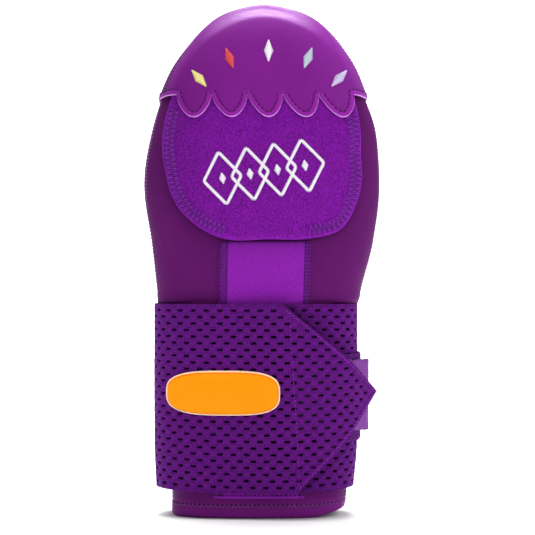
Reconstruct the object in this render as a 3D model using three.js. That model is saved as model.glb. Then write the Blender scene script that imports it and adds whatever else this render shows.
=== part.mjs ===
// Padded sliding mitt: a closed neoprene pocket for one hand, with a leather fingertip cap,
// a knuckle pad, a strip of loop tape, and an elastic wrist wrap that closes with hook and loop.
//
// Millimetres. +Z runs up along the fingers, +X is to the right when the back of the hand faces
// the viewer, and the back of the hand faces -Y. The mitt stands on its cuff, at Z = 0.
//
// Every piece is a slab between two faces laid at set heights over a base surface. The pocket's
// outer face is one base, and the inner face of the wrist wrap is the other.

import * as THREE from 'three';

// Clearances and the pocket's main sizes
const gap = 0.35; // between a piece and what it lies on
const seamGap = 0.34; // between the two halves at the side seams
const balanceY = 3.6; // moves the whole mitt so that the origin is under its middle
const tipHeight = 277.3; // top of the neoprene, under the cap
const neopreneWall = 3;
const pocketColumns = 20; // facets round each half
const rim = { lift: 4, reach: 18 }; // the cuff's rim rises a little at the right seam

// The pocket's outline: how far each section reaches from the Z axis, and the exponent of its
// superellipse, which is squarer towards the cuff. The tip leans to the palm.
const pocketSections = [
  { z: tipHeight, left: -0.8, right: 0.8, front: -4, palm: 4, square: 2.3 },
  { z: 273, left: 21.5, right: 23.7, front: 5.5, palm: 14.5, square: 2.3 },
  { z: 266, left: 31.3, right: 33.8, front: 11, palm: 19, square: 2.3 },
  { z: 255.9, left: 40.2, right: 42.4, front: 15.5, palm: 21.5, square: 2.3 },
  { z: 243, left: 48.9, right: 50.5, front: 18.5, palm: 22.8, square: 2.3 },
  { z: 228, left: 55.8, right: 56.2, front: 20.5, palm: 23.8, square: 2.3 },
  { z: 210, left: 60.8, right: 62.6, front: 22, palm: 24.6, square: 2.3 },
  { z: 180, left: 64.5, right: 64.4, front: 23.4, palm: 25, square: 2.35 },
  { z: 150, left: 60.9, right: 60.8, front: 23.3, palm: 24.6, square: 2.45 },
  { z: 125, left: 57.8, right: 54.5, front: 22.8, palm: 23.8, square: 2.65 },
  { z: 118.5, left: 56.6, right: 52.7, front: 22.6, palm: 23.6, square: 2.7 },
  { z: 115.6, left: 54.9, right: 50, front: 22.5, palm: 23.4, square: 2.7 },
  { z: 60, left: 52.5, right: 48, front: 22.4, palm: 23, square: 2.8 },
  { z: 12, left: 49.3, right: 46.4, front: 22.6, palm: 23.4, square: 2.8 },
  { z: 0, left: 49, right: 44.6, front: 23, palm: 23.8, square: 2.8 },
];

// How far the side seams are turned from the sides towards the front, in degrees
const seamTurns = [
  { z: tipHeight, left: 0, right: 0 },
  { z: 243, left: 3, right: 0 },
  { z: 210, left: 10, right: 0 },
  { z: 180, left: 10, right: 0 },
  { z: 150, left: 4, right: 0 },
  { z: 114.5, left: 0, right: 6 },
  { z: 60, left: 0, right: 14 },
  { z: 0, left: 0, right: 22 },
];

// Leather fingertip cap
const cap = {
  gap: 0.42,
  thickness: 1.3,
  seamZ: 227, // the lower edge at the side seams, and the cusps between lobes
  lobes: 5, // over the pad, with one plain stretch of a lobe's width at each side
  lobeDepth: 12,
  lobeRoundness: 0.7, // power of a sine: below 1 is rounder than a sine
  palmDip: 16, // how far the palm side's edge dips at the middle
  columnsPerLobe: 7,
  palmColumns: 20,
  rows: 10,
  rampShare: 0.11, // how far past the pad's outline the leather comes down
  seamBlend: 0.3, // sine of the angle from the seam where the full lift is reached
};

// Foam knuckle pad: thickness, and the height of its top at shares of the way to its outline
const pad = { centreX: 1, centreZ: 208, columns: 44, gap: 0.45, top: 4.3 };
const padRings = [
  { share: 0, height: 4.3 },
  { share: 0.25, height: 4.3 },
  { share: 0.48, height: 4.3 },
  { share: 0.68, height: 4.2 },
  { share: 0.84, height: 4 },
  { share: 0.95, height: 3.4 },
  { share: 1, height: 1.4 },
];
const padOutline = [
  { x: 2, z: 150.2 }, { x: 27, z: 150.8 }, { x: 41.7, z: 155 }, { x: 49.7, z: 168.4 },
  { x: 52.9, z: 181.7 }, { x: 52.3, z: 197.8 }, { x: 49.7, z: 221.8 }, { x: 45.5, z: 236 },
  { x: 38, z: 250 }, { x: 26, z: 262 }, { x: 1, z: 270 }, { x: -25, z: 261 },
  { x: -37, z: 249 }, { x: -44.5, z: 236 }, { x: -48.6, z: 224.5 }, { x: -51.3, z: 187.1 },
  { x: -49.1, z: 176.4 }, { x: -43.8, z: 165.7 }, { x: -33.1, z: 156.1 },
  { x: -22.4, z: 150.9 },
];

// Loop tape down the middle of the back: it leans a little, and ends just below the pad
const strip = {
  low: 11, high: 149, lowCentreX: -1.6, highCentreX: 1.9,
  width: 48.6, thickness: 1, columns: 6, rows: 10,
};

// Elastic wrist wrap. Angles go round from the right side, by the palm, the left side and the
// front, so 270 is the middle of the back of the hand and 630 is the same place a turn later.
const wrap = {
  thickness: 1.8,
  start: 210, // the band's inner end, at the front left
  step: 9, // one facet
  leave: 687, // here the closed end leaves the curve and runs on straight
  tail: [6, 12, 16.3], // lengths along the straight end
  tip: { x: 61.3, z: 68, height: 2 },
  topSlantX: 11.1, // the pointed end's slanting edges start here
  bottomSlantX: 20.2,
  sag: 2.3, // the lower edge hangs lower at the middle of the front
};
const wrapSections = [
  { z: 16.4, left: 54.3, right: 48.5, front: 24.8, palm: 24.8, square: 2.9 },
  { z: 40, left: 55.2, right: 50.4, front: 24.8, palm: 24.8, square: 2.9 },
  { z: 75, left: 55.3, right: 50.5, front: 24.8, palm: 24.8, square: 2.9 },
  { z: 115.4, left: 55.3, right: 50.6, front: 24.8, palm: 24.8, square: 2.9 },
];
// How far the band's inner face is lifted off its base as it climbs over what is beneath it
const wrapLifts = [
  { angle: 500, lift: 0 },
  { angle: 566, lift: 2.2 },
  { angle: 615, lift: 2.2 },
  { angle: 648, lift: 5.6 },
  { angle: 660, lift: 5.6 },
];

// Hook and loop patches between the wrap's layers: lift of the inner face, and reach
const patchStart = 651;
const loopPatch = { lift: 2.15, thickness: 1.35, low: 41.6, high: 88.6, end: 760 };
const hookPatch = { lift: 3.8, thickness: 1.4, low: 47.5, high: 85.2, tail: [6, 12.3] };

// Rubber badge on the front of the wrap
const badge = { x: -19.5, z: 68, halfWidth: 29, halfHeight: 12, squareness: 3.2, columns: 32 };
const badgeRings = [
  { share: 0, height: 2.2 },
  { share: 0.3, height: 2.2 },
  { share: 0.56, height: 2.2 },
  { share: 0.8, height: 2.1 },
  { share: 0.95, height: 1.7 },
  { share: 1, height: 0.8 },
];

const radians = THREE.MathUtils.degToRad;
const smooth = THREE.MathUtils.smoothstep;

// A curve through rows of a table that never overshoots between them (monotone cubic)
function tableCurve(rows, key, position) {
  const xs = rows.map(position);
  const ys = rows.map((row) => row[key]);
  const slopes = xs.slice(1).map((x, i) => (ys[i + 1] - ys[i]) / (x - xs[i]));
  const tangents = xs.map((x, i) => {
    if (i === 0) return slopes[0];
    if (i === xs.length - 1) return slopes[i - 1];
    const before = slopes[i - 1];
    const after = slopes[i];
    if (before * after <= 0) return 0;
    return (2 * before * after) / (before + after);
  });
  return (x) => {
    const inside = Math.min(Math.max(x, xs[0]), xs.at(-1));
    const i = Math.min(Math.max(xs.findIndex((end) => end >= inside) - 1, 0), xs.length - 2);
    const width = xs[i + 1] - xs[i];
    const u = (inside - xs[i]) / width;
    const start = ys[i] * (1 + 2 * u) * (1 - u) ** 2 + tangents[i] * width * u * (1 - u) ** 2;
    const end = ys[i + 1] * u * u * (3 - 2 * u) + tangents[i + 1] * width * u * u * (u - 1);
    return start + end;
  };
}

// A table of sections as one function that gives the centre, half-sizes and exponent
function sectionCurve(rows, position) {
  const curves = {};
  for (const key of ['left', 'right', 'front', 'palm', 'square']) {
    curves[key] = tableCurve(rows, key, position);
  }
  return (x) => {
    const [left, right, front, palm] = ['left', 'right', 'front', 'palm'].map((k) => curves[k](x));
    return {
      x: (right - left) / 2, y: (palm - front) / 2,
      halfWidth: (right + left) / 2, halfDepth: (palm + front) / 2,
      exponent: curves.square(x),
    };
  };
}

function superellipse(section, angle) {
  const { exponent } = section;
  const c = Math.cos(radians(angle));
  const s = Math.sin(radians(angle));
  const grow = (Math.abs(c) ** exponent + Math.abs(s) ** exponent) ** (-1 / exponent);
  return [section.x + section.halfWidth * c * grow, section.y + section.halfDepth * s * grow];
}

// The angle of the front point of a section that has a given X
function frontAngle(section, x) {
  const { exponent } = section;
  const across = (x - section.x) / section.halfWidth;
  const limited = Math.min(Math.abs(across), 1);
  const depth = (1 - limited ** exponent) ** (1 / exponent);
  return 360 + THREE.MathUtils.radToDeg(Math.atan2(-depth, Math.sign(across) * limited));
}

// The base surface of the pocket. Depth runs from 0 at the tip to 1 at the cuff, as the root of
// the way down, so the dome over the fingertips is evenly round.
const depthAt = (z) => Math.sqrt(Math.max(tipHeight - z, 0) / tipHeight);
const heightAt = (depth) => tipHeight * (1 - depth * depth);
const pocketSection = sectionCurve(pocketSections, (row) => depthAt(row.z));

function rimLift(angle, z) {
  const nearRight = smooth(Math.cos(radians(angle)), 0.55, 1);
  const nearRim = Math.max(1 - z / rim.reach, 0) ** 2;
  return rim.lift * nearRight * nearRim;
}

function pocketBase(angle, depth) {
  const [x, y] = superellipse(pocketSection(depth), angle);
  const z = heightAt(depth);
  return new THREE.Vector3(x, y, z + rimLift(angle, z));
}

function pocketPoint(angle, depth, height) {
  const point = pocketBase(angle, depth);
  const nearTip = 0.002;
  if (depth < nearTip) return point.setZ(point.z + height);
  const step = 0.001;
  const round = pocketBase(angle + 0.5, depth).sub(pocketBase(angle - 0.5, depth));
  const down = pocketBase(angle, Math.min(depth + step, 1)).sub(pocketBase(angle, depth - step));
  const normal = new THREE.Vector3().crossVectors(down, round);
  if (depth === 1) normal.setZ(0); // the cuff's rim is cut level
  return point.addScaledVector(normal.normalize(), height);
}

// A point over the front of the pocket, given X and Z
function frontPoint(x, z, height) {
  const depth = depthAt(z);
  return pocketPoint(frontAngle(pocketSection(depth), x), depth, height);
}

const seamLeft = tableCurve(seamTurns, 'left', (row) => depthAt(row.z));
const seamRight = tableCurve(seamTurns, 'right', (row) => depthAt(row.z));

// The angle at a share of the way across one half: the back of the hand, or the palm
function angleAcross(half, share, depth) {
  const left = 180 + seamLeft(depth);
  const right = -seamRight(depth);
  const [from, to] = half === 'back' ? [left, 360 + right] : [right, left];
  return from + (to - from) * share;
}

// Closed slab between an outer and an inner grid of points, given as rows of columns. A row may
// shrink to one point. A ring's last column is its first one, so it has no side walls.
function slab(outer, inner, ring = false) {
  const positions = [];
  const indices = [];
  const known = new Map();
  const vertex = (point) => {
    const key = point.toArray().map((value) => value.toFixed(4)).join(' ');
    if (!known.has(key)) {
      known.set(key, positions.length / 3);
      positions.push(...point.toArray());
    }
    return known.get(key);
  };
  const triangle = (...corners) => {
    const [a, b, c] = corners.map(vertex);
    if (a !== b && b !== c && c !== a) indices.push(a, b, c);
  };
  const quad = (a, b, c, d) => {
    triangle(a, b, c);
    triangle(a, c, d);
  };
  const lastRow = outer.length - 1;
  const lastColumn = outer[0].length - 1;
  for (let r = 0; r < lastRow; r += 1) {
    for (let c = 0; c < lastColumn; c += 1) {
      quad(outer[r][c], outer[r + 1][c], outer[r + 1][c + 1], outer[r][c + 1]);
      quad(inner[r][c], inner[r][c + 1], inner[r + 1][c + 1], inner[r + 1][c]);
    }
    if (!ring) {
      quad(outer[r][0], inner[r][0], inner[r + 1][0], outer[r + 1][0]);
      const c = lastColumn;
      quad(outer[r][c], outer[r + 1][c], inner[r + 1][c], inner[r][c]);
    }
  }
  for (let c = 0; c < lastColumn; c += 1) {
    quad(outer[0][c], outer[0][c + 1], inner[0][c + 1], inner[0][c]);
    const r = lastRow;
    quad(outer[r][c], inner[r][c], inner[r][c + 1], outer[r][c + 1]);
  }
  const geometry = new THREE.BufferGeometry();
  geometry.setAttribute('position', new THREE.Float32BufferAttribute(positions, 3));
  geometry.setIndex(facingOut(positions, indices));
  geometry.computeVertexNormals();
  return geometry;
}

// Turns the triangles over if together they enclose a negative volume
function facingOut(positions, indices) {
  const corner = (i) => new THREE.Vector3().fromArray(positions, indices[i] * 3);
  let volume = 0;
  for (let i = 0; i < indices.length; i += 3) {
    volume += corner(i).dot(corner(i + 1).cross(corner(i + 2)));
  }
  return volume > 0 ? indices : indices.reverse();
}

function grid(rows, columns, point) {
  return Array.from({ length: rows + 1 }, (_, r) => (
    Array.from({ length: columns + 1 }, (__, c) => point(r / rows, c / columns))
  ));
}

// One neoprene half of the pocket, open at the cuff
function pocketHalf(half) {
  const depths = pocketSections.map((row) => depthAt(row.z));
  const steps = 2 * (depths.length - 1);
  const depthOfRow = (share) => {
    const place = share * (depths.length - 1);
    const i = Math.min(Math.floor(place), depths.length - 2);
    return depths[i] + (depths[i + 1] - depths[i]) * (place - i);
  };
  const face = (height) => grid(steps, pocketColumns, (down, across) => {
    const depth = depthOfRow(down);
    return pocketPoint(angleAcross(half, across, depth), depth, height);
  });
  return slab(face(0), face(-neopreneWall));
}

// Distance from the pad's centre as a share of the distance to its outline
const padPolar = padOutline.map(({ x, z }) => ({
  turn: Math.atan2(z - pad.centreZ, x - pad.centreX),
  radius: Math.hypot(x - pad.centreX, z - pad.centreZ),
})).sort((a, b) => a.turn - b.turn);
const fullTurn = 2 * Math.PI;
const padRadius = tableCurve(
  [
    { ...padPolar.at(-2), turn: padPolar.at(-2).turn - fullTurn },
    { ...padPolar.at(-1), turn: padPolar.at(-1).turn - fullTurn },
    ...padPolar,
    { ...padPolar[0], turn: padPolar[0].turn + fullTurn },
    { ...padPolar[1], turn: padPolar[1].turn + fullTurn },
  ],
  'radius',
  (row) => row.turn,
);

function padShare(x, z) {
  const turn = Math.atan2(z - pad.centreZ, x - pad.centreX);
  return Math.hypot(x - pad.centreX, z - pad.centreZ) / padRadius(turn);
}

// A slab with a rounded edge inside an outline: rings of points from the centre outwards
function roundedPatch(columns, rings, outlinePoint, place) {
  const rows = (heightOf) => rings.map((row) => (
    Array.from({ length: columns + 1 }, (_, c) => {
      const turn = ((c % columns) / columns) * fullTurn - Math.PI;
      const [x, z] = outlinePoint(turn, row.share);
      return place(x, z, heightOf(row));
    })
  ));
  return slab(rows((row) => row.height), rows(() => 0), true);
}

function foamPad() {
  const outlinePoint = (turn, share) => [
    pad.centreX + Math.cos(turn) * padRadius(turn) * share,
    pad.centreZ + Math.sin(turn) * padRadius(turn) * share,
  ];
  return roundedPatch(pad.columns, padRings, outlinePoint, (x, z, height) => (
    frontPoint(x, z, pad.gap + height)
  ));
}

function loopTape() {
  const face = (height) => grid(strip.rows, strip.columns, (down, across) => {
    const z = strip.high + (strip.low - strip.high) * down;
    const rise = (z - strip.low) / (strip.high - strip.low);
    const centre = strip.lowCentreX + (strip.highCentreX - strip.lowCentreX) * rise;
    return frontPoint(centre + strip.width * (across - 0.5), z, height);
  });
  return slab(face(gap + strip.thickness), face(gap));
}

// Shares of the way across the back half at even distances along the surface
function evenAcrossBack(z) {
  const samples = 200;
  const depth = depthAt(z);
  const lengths = [0];
  let last = pocketPoint(angleAcross('back', 0, depth), depth, 0);
  for (let i = 1; i <= samples; i += 1) {
    const next = pocketPoint(angleAcross('back', i / samples, depth), depth, 0);
    lengths.push(lengths.at(-1) + next.distanceTo(last));
    last = next;
  }
  return (share) => {
    const wanted = share * lengths.at(-1);
    const i = Math.max(lengths.findIndex((length) => length >= wanted - 1e-9), 1);
    return (i - 1 + (wanted - lengths[i - 1]) / (lengths[i] - lengths[i - 1])) / samples;
  };
}

// Lower edge of the cap: round lobes on the back, one shallow dip on the palm
function capEdge(half, share) {
  if (half === 'palm') return cap.seamZ - cap.palmDip * Math.sin(Math.PI * share);
  const place = share * (cap.lobes + 2);
  if (place < 1 || place > cap.lobes + 1) return cap.seamZ;
  const wave = Math.abs(Math.sin(Math.PI * place));
  return cap.seamZ - cap.lobeDepth * wave ** cap.lobeRoundness;
}

// How far the leather is lifted by the pad beneath it
function capLift(half, angle, depth) {
  if (half === 'palm') return 0;
  const base = pocketBase(angle, depth);
  const overPad = 1 - smooth(padShare(base.x, base.z), 1, 1 + cap.rampShare);
  const fromSeam = smooth(Math.abs(Math.sin(radians(angle))), 0, cap.seamBlend);
  return (pad.gap + pad.top) * overPad * fromSeam;
}

function leatherCap(half) {
  const columns = half === 'back' ? (cap.lobes + 2) * cap.columnsPerLobe : cap.palmColumns;
  const spread = half === 'back' ? evenAcrossBack(cap.seamZ) : (share) => share;
  const meanDepth = depthAt(cap.seamZ - cap.lobeDepth / 2);
  const face = (height) => grid(cap.rows, columns, (down, across) => {
    const edgeDepth = depthAt(capEdge(half, across));
    const depth = meanDepth * down + (edgeDepth - meanDepth) * down ** 4;
    const angle = angleAcross(half, spread(across), depth);
    return pocketPoint(angle, depth, cap.gap + capLift(half, angle, depth) + height);
  });
  return slab(face(cap.thickness), face(0));
}

// The base surface of the wrist wrap, followed round by angle and then straight on by a length
const wrapSection = sectionCurve(wrapSections, (row) => row.z);

function wrapPoint(station, z, height) {
  const section = wrapSection(z);
  const at = (angle) => new THREE.Vector2(...superellipse(section, angle));
  const along = at(station.angle + 0.5).sub(at(station.angle - 0.5)).normalize();
  const outward = new THREE.Vector2(along.y, -along.x);
  const point = at(station.angle).addScaledVector(outward, height);
  point.addScaledVector(along, station.beyond);
  return new THREE.Vector3(point.x, point.y, z);
}

function wrapLift(angle) {
  return tableCurve(wrapLifts, 'lift', (row) => row.angle)(angle);
}

function stations(from, to, tail = []) {
  const angles = [];
  for (let angle = from; angle < to - wrap.step / 2; angle += wrap.step) angles.push(angle);
  angles.push(to);
  return [
    ...angles.map((angle) => ({ angle, beyond: 0 })),
    ...tail.map((beyond) => ({ angle: to, beyond })),
  ];
}

// The pointed end: the band's top and bottom at a place along it
function wrapEdges(station) {
  const toFront = Math.max(-Math.sin(radians(station.angle)), 0) ** 2;
  const low = wrapSections[0].z - wrap.sag * toFront;
  const high = wrapSections.at(-1).z;
  if (station.angle < 540) return [low, high];
  const { x } = wrapPoint(station, wrap.tip.z, wrapLift(station.angle) + wrap.thickness);
  const left = Math.max(wrap.tip.x - x, 0);
  const topShare = Math.min(left / (wrap.tip.x - wrap.topSlantX), 1);
  const bottomShare = Math.min(left / (wrap.tip.x - wrap.bottomSlantX), 1);
  const half = wrap.tip.height / 2;
  const top = Math.max(wrap.tip.z + (high - wrap.tip.z) * topShare, wrap.tip.z + half);
  const bottom = Math.min(wrap.tip.z + (low - wrap.tip.z) * bottomShare, wrap.tip.z - half);
  return [bottom, top];
}

function elasticWrap() {
  const places = stations(wrap.start, wrap.leave, wrap.tail);
  const levels = wrapSections.map((row) => (
    (row.z - wrapSections[0].z) / (wrapSections.at(-1).z - wrapSections[0].z)
  ));
  const face = (height) => levels.map((level) => places.map((station) => {
    const [bottom, top] = wrapEdges(station);
    const z = bottom + (top - bottom) * level;
    return wrapPoint(station, z, wrapLift(station.angle) + height);
  }));
  return slab(face(wrap.thickness), face(0));
}

// A straight-edged patch that follows the wrap round
function wrapPatch(patch, end, tail) {
  const places = stations(patchStart, end, tail);
  const face = (height) => [patch.low, patch.high].map((z) => (
    places.map((station) => wrapPoint(station, z, patch.lift + height))
  ));
  return slab(face(patch.thickness), face(0));
}

function rubberBadge() {
  const outlinePoint = (turn, share) => {
    const c = Math.cos(turn) / badge.halfWidth;
    const s = Math.sin(turn) / badge.halfHeight;
    const n = badge.squareness;
    const radius = (Math.abs(c) ** n + Math.abs(s) ** n) ** (-1 / n);
    return [
      badge.x + Math.cos(turn) * radius * share,
      badge.z + Math.sin(turn) * radius * share,
    ];
  };
  return roundedPatch(badge.columns, badgeRings, outlinePoint, (x, z, height) => {
    const angle = 360 + frontAngle(wrapSection(z), x);
    const lift = wrapLift(angle) + wrap.thickness + gap;
    return wrapPoint({ angle, beyond: 0 }, z, lift + height);
  });
}

const materials = {
  neoprene: new THREE.MeshStandardMaterial({ color: 0x5f1c66, roughness: 0.75 }),
  leather: new THREE.MeshStandardMaterial({ color: 0x7d2488, roughness: 0.42 }),
  plush: new THREE.MeshStandardMaterial({ color: 0x7a1797, roughness: 0.95 }),
  tape: new THREE.MeshStandardMaterial({ color: 0x8b23a9, roughness: 0.85 }),
  elastic: new THREE.MeshStandardMaterial({ color: 0x641987, roughness: 0.85 }),
  loop: new THREE.MeshStandardMaterial({ color: 0x4a1460, roughness: 0.95 }),
  hook: new THREE.MeshStandardMaterial({ color: 0x6c3283, roughness: 0.6 }),
  rubber: new THREE.MeshStandardMaterial({ color: 0xff9600, roughness: 0.4 }),
};

const mitt = new THREE.Group();
mitt.name = 'sliding_mitt';
mitt.position.y = balanceY;

// Adds a piece. The back of the hand and the palm stand apart by the gap of the side seams.
function add(name, geometry, material, shiftY = 0) {
  const mesh = new THREE.Mesh(geometry, material);
  mesh.name = name;
  mesh.position.y = shiftY;
  mitt.add(mesh);
}

const toFront = -seamGap / 2;
const toPalm = seamGap / 2;
add('backhand_panel', pocketHalf('back'), materials.neoprene, toFront);
add('palm_panel', pocketHalf('palm'), materials.neoprene, toPalm);
add('knuckle_pad', foamPad(), materials.plush, toFront);
add('fingertip_cap_front', leatherCap('back'), materials.leather, toFront);
add('fingertip_cap_palm', leatherCap('palm'), materials.leather, toPalm);
add('centre_strip', loopTape(), materials.tape, toFront);
add('wrist_wrap', elasticWrap(), materials.elastic);
add('loop_patch', wrapPatch(loopPatch, loopPatch.end), materials.loop);
add('hook_patch', wrapPatch(hookPatch, wrap.leave, hookPatch.tail), materials.hook);
add('badge', rubberBadge(), materials.rubber);

export default mitt;
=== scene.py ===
"""Looks of a padded sliding mitt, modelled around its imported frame.

Tables and sizes are in millimetres, and every mesh is made in metres. +Z runs up along the
fingers, +X is to the right, and the back of the hand faces -Y.
"""
import functools
import math

import bmesh
import bpy
import numpy as np
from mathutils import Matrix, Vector


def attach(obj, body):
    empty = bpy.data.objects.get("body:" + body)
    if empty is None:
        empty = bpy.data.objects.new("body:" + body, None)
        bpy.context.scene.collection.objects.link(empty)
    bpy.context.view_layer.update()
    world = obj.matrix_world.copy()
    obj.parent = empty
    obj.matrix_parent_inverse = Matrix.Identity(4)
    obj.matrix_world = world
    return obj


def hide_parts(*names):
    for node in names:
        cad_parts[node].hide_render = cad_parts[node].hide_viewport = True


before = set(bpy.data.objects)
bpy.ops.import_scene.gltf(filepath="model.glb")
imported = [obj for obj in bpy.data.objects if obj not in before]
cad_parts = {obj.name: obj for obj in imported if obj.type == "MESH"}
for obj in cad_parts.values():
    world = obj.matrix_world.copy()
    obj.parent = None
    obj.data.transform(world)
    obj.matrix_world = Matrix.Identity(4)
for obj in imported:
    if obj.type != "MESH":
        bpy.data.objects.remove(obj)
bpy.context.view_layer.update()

MM = 0.001
BODY = "root"


# Sizes, where those of the solids are the same as in the part's source

GAP = 0.35
SEAM_GAP = 0.34
BALANCE_Y = 3.6
TIP_HEIGHT = 277.3
NEOPRENE_WALL = 3.0
RIM_LIFT, RIM_REACH, RIM_SPAN = 4.0, 18.0, (0.55, 1)
FRONT_LIFT, FRONT_SPAN = 0.3, (0.35, 0.9)
DOME_STEPS, DOME_REACH, DOME_SOFTNESS = 4001, 0.06, 0.02
DOME_END, BODY_START = 0.58, 0.7
DENT_WAVES = 9
SWELL, SWELL_FADE = {"size": 62, "height": 0.35, "seed": 5}, (2, 30)


def table(columns, rows):
    """A short table as a dictionary of columns."""
    return dict(zip(columns.split(), np.array(rows, float).T))


POCKET = table("z left right front palm square", [
    (277.3, -0.8, 0.8, -4.0, 4.0, 2.3),
    (273.0, 21.5, 23.7, 5.5, 14.5, 2.3),
    (266.0, 31.3, 33.8, 11.0, 19.0, 2.3),
    (255.9, 40.2, 42.4, 15.5, 21.5, 2.3),
    (243.0, 48.9, 50.5, 18.5, 22.8, 2.3),
    (228.0, 55.8, 56.2, 20.5, 23.8, 2.3),
    (210.0, 60.8, 62.6, 22.0, 24.6, 2.3),
    (180.0, 64.5, 64.4, 23.4, 25.0, 2.35),
    (150.0, 60.9, 60.8, 23.3, 24.6, 2.45),
    (125.0, 57.8, 54.5, 22.8, 23.8, 2.65),
    (118.5, 56.6, 52.7, 22.6, 23.6, 2.7),
    (115.6, 54.9, 50.0, 22.5, 23.4, 2.7),
    (60.0, 52.5, 48.0, 22.4, 23.0, 2.8),
    (12.0, 49.3, 46.4, 22.6, 23.4, 2.8),
    (0.0, 49.0, 44.6, 23.0, 23.8, 2.8),
])
SEAM_TURNS = table("z left right", [
    (277.3, 0, 0),
    (243.0, 3, 0),
    (210.0, 10, 0),
    (180.0, 10, 0),
    (150.0, 4, 0),
    (114.5, 0, 6),
    (60.0, 0, 14),
    (0.0, 0, 22),
])

CAP_GAP, CAP_THICKNESS = 0.42, 1.3
CAP_SEAM_Z = 227.0
CAP_LOBES, CAP_LOBE_DEPTH, CAP_ROUNDNESS = 5, 12.0, 0.7
CAP_PALM_DIP = 16.0
CAP_RAMP_SHARE, CAP_SIDE_RAMP_SHARE, CAP_SEAM_BLEND = 0.11, 0.06, 0.3
LIP_INSET, LIP_HEIGHT, LIP_FADE = 3.4, 1.9, 4.4

PAD_CENTRE = (1.0, 208.0)
PAD_GAP, PAD_TOP = 0.45, 4.3
PAD_TURNS, PAD_REACH, PAD_SOFTNESS = 1440, 40, 12
PAD_OUTLINE = table("x z", [
    (2, 150.2), (27, 150.8), (41.7, 155), (49.7, 168.4), (52.9, 181.7), (52.3, 197.8),
    (49.7, 221.8), (45.5, 236), (38, 250), (26, 262), (1, 270), (-25, 261), (-37, 249),
    (-44.5, 236), (-48.6, 224.5), (-51.3, 187.1), (-49.1, 176.4), (-43.8, 165.7),
    (-33.1, 156.1), (-22.4, 150.9),
])

STRIP_LOW, STRIP_HIGH = 11.0, 149.0
STRIP_LOW_X, STRIP_HIGH_X = -1.6, 1.9
STRIP_WIDTH, STRIP_THICKNESS = 48.6, 1.0
STRIP_SELVEDGES = (4.4, 3.4)

WRAP_THICKNESS = 1.8
WRAP_SAG = 2.3
WRAP_START, WRAP_LEAVE = 210.0, 687.0
WRAP_TAIL = 16.3
OUTER_LAYER_ANGLE = 560.0
WRAP_TIP_Z = 68.0
WRAP_TOP_SLANT_X, WRAP_BOTTOM_SLANT_X = 11.1, 20.2
WRAP = table("z left right front palm square", [
    (16.4, 54.3, 48.5, 24.8, 24.8, 2.9),
    (40.0, 55.2, 50.4, 24.8, 24.8, 2.9),
    (75.0, 55.3, 50.5, 24.8, 24.8, 2.9),
    (115.4, 55.3, 50.6, 24.8, 24.8, 2.9),
])
WRAP_LOW, WRAP_HIGH = WRAP["z"][0], WRAP["z"][-1]
WRAP_LIFTS = table("angle lift", [(500, 0), (566, 2.2), (615, 2.2), (648, 5.6), (660, 5.6)])

PATCH_START = 651.0
LOOP = {"lift": 2.15, "thickness": 1.35, "low": 41.6, "high": 88.6, "end": 760.0}
HOOK = {"lift": 3.8, "thickness": 1.4, "low": 47.5, "high": 85.2, "tail": 12.3}
HOOK_RIB = 1.6

BADGE = {"x": -19.5, "z": 68.0, "half_width": 29.0, "half_height": 12.0, "squareness": 3.2,
         "rim": 0.75, "band": 3.0, "band_share": 0.72}


# Curves and base surfaces

def smooth(x, low, high):
    u = np.clip((np.asarray(x, float) - low) / (high - low), 0, 1)
    return u * u * (3 - 2 * u)


def bump(x, centre, width):
    return np.exp(-(((x - centre) / width) ** 2))


def spread(*values):
    """Values as arrays of one shape."""
    return np.broadcast_arrays(*(np.asarray(value, float) for value in values))


def stacked(*coordinates):
    """Points from arrays of their coordinates."""
    return np.stack(np.broadcast_arrays(*coordinates), axis=-1)


def unit(vectors):
    """Vectors at length one. One without any length stays as it is."""
    return vectors / np.maximum(np.linalg.norm(vectors, axis=-1, keepdims=True), 1e-9)


def left_of(direction):
    """A flat direction turned a quarter to the left."""
    return stacked(-direction[..., 1], direction[..., 0])


def run_along(points):
    """Length along a line of points, from its first one."""
    steps = np.linalg.norm(np.diff(points, axis=0), axis=1)
    return np.concatenate([[0], np.cumsum(steps)])


def grain(seed, size, shape):
    """A random height or shift for each point."""
    return np.random.default_rng(seed).normal(0, size, shape)


def monotone(xs, ys):
    """A cubic through the points that never overshoots between them."""
    slopes = np.diff(ys) / np.diff(xs)
    before, after = slopes[:-1], slopes[1:]
    total = np.where(before * after > 0, before + after, 1)
    inner = np.where(before * after > 0, 2 * before * after / total, 0)
    tangents = np.concatenate([slopes[:1], inner, slopes[-1:]])

    def evaluate(x):
        x = np.clip(x, xs[0], xs[-1])
        i = np.clip(np.searchsorted(xs, x) - 1, 0, len(xs) - 2)
        width = xs[i + 1] - xs[i]
        u = (x - xs[i]) / width
        start = ys[i] * (1 + 2 * u) * (1 - u) ** 2 + tangents[i] * width * u * (1 - u) ** 2
        end = ys[i + 1] * u * u * (3 - 2 * u) + tangents[i + 1] * width * u * u * (u - 1)
        return start + end

    return evaluate


def depth_at(z):
    """0 at the fingertips to 1 at the cuff, as the root of the way down."""
    return np.sqrt(np.clip(TIP_HEIGHT - np.asarray(z, float), 0, None) / TIP_HEIGHT)


def height_at(depth):
    return TIP_HEIGHT * (1 - depth * depth)


def blurred(before, values, after, softness):
    """A row of values, softened, with the values to use before and after it."""
    reach = len(before)
    kernel = np.exp(-((np.arange(-reach, reach + 1) / softness) ** 2) / 2)
    return np.convolve(np.concatenate([before, values, after]), kernel / kernel.sum(), mode="valid")


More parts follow.
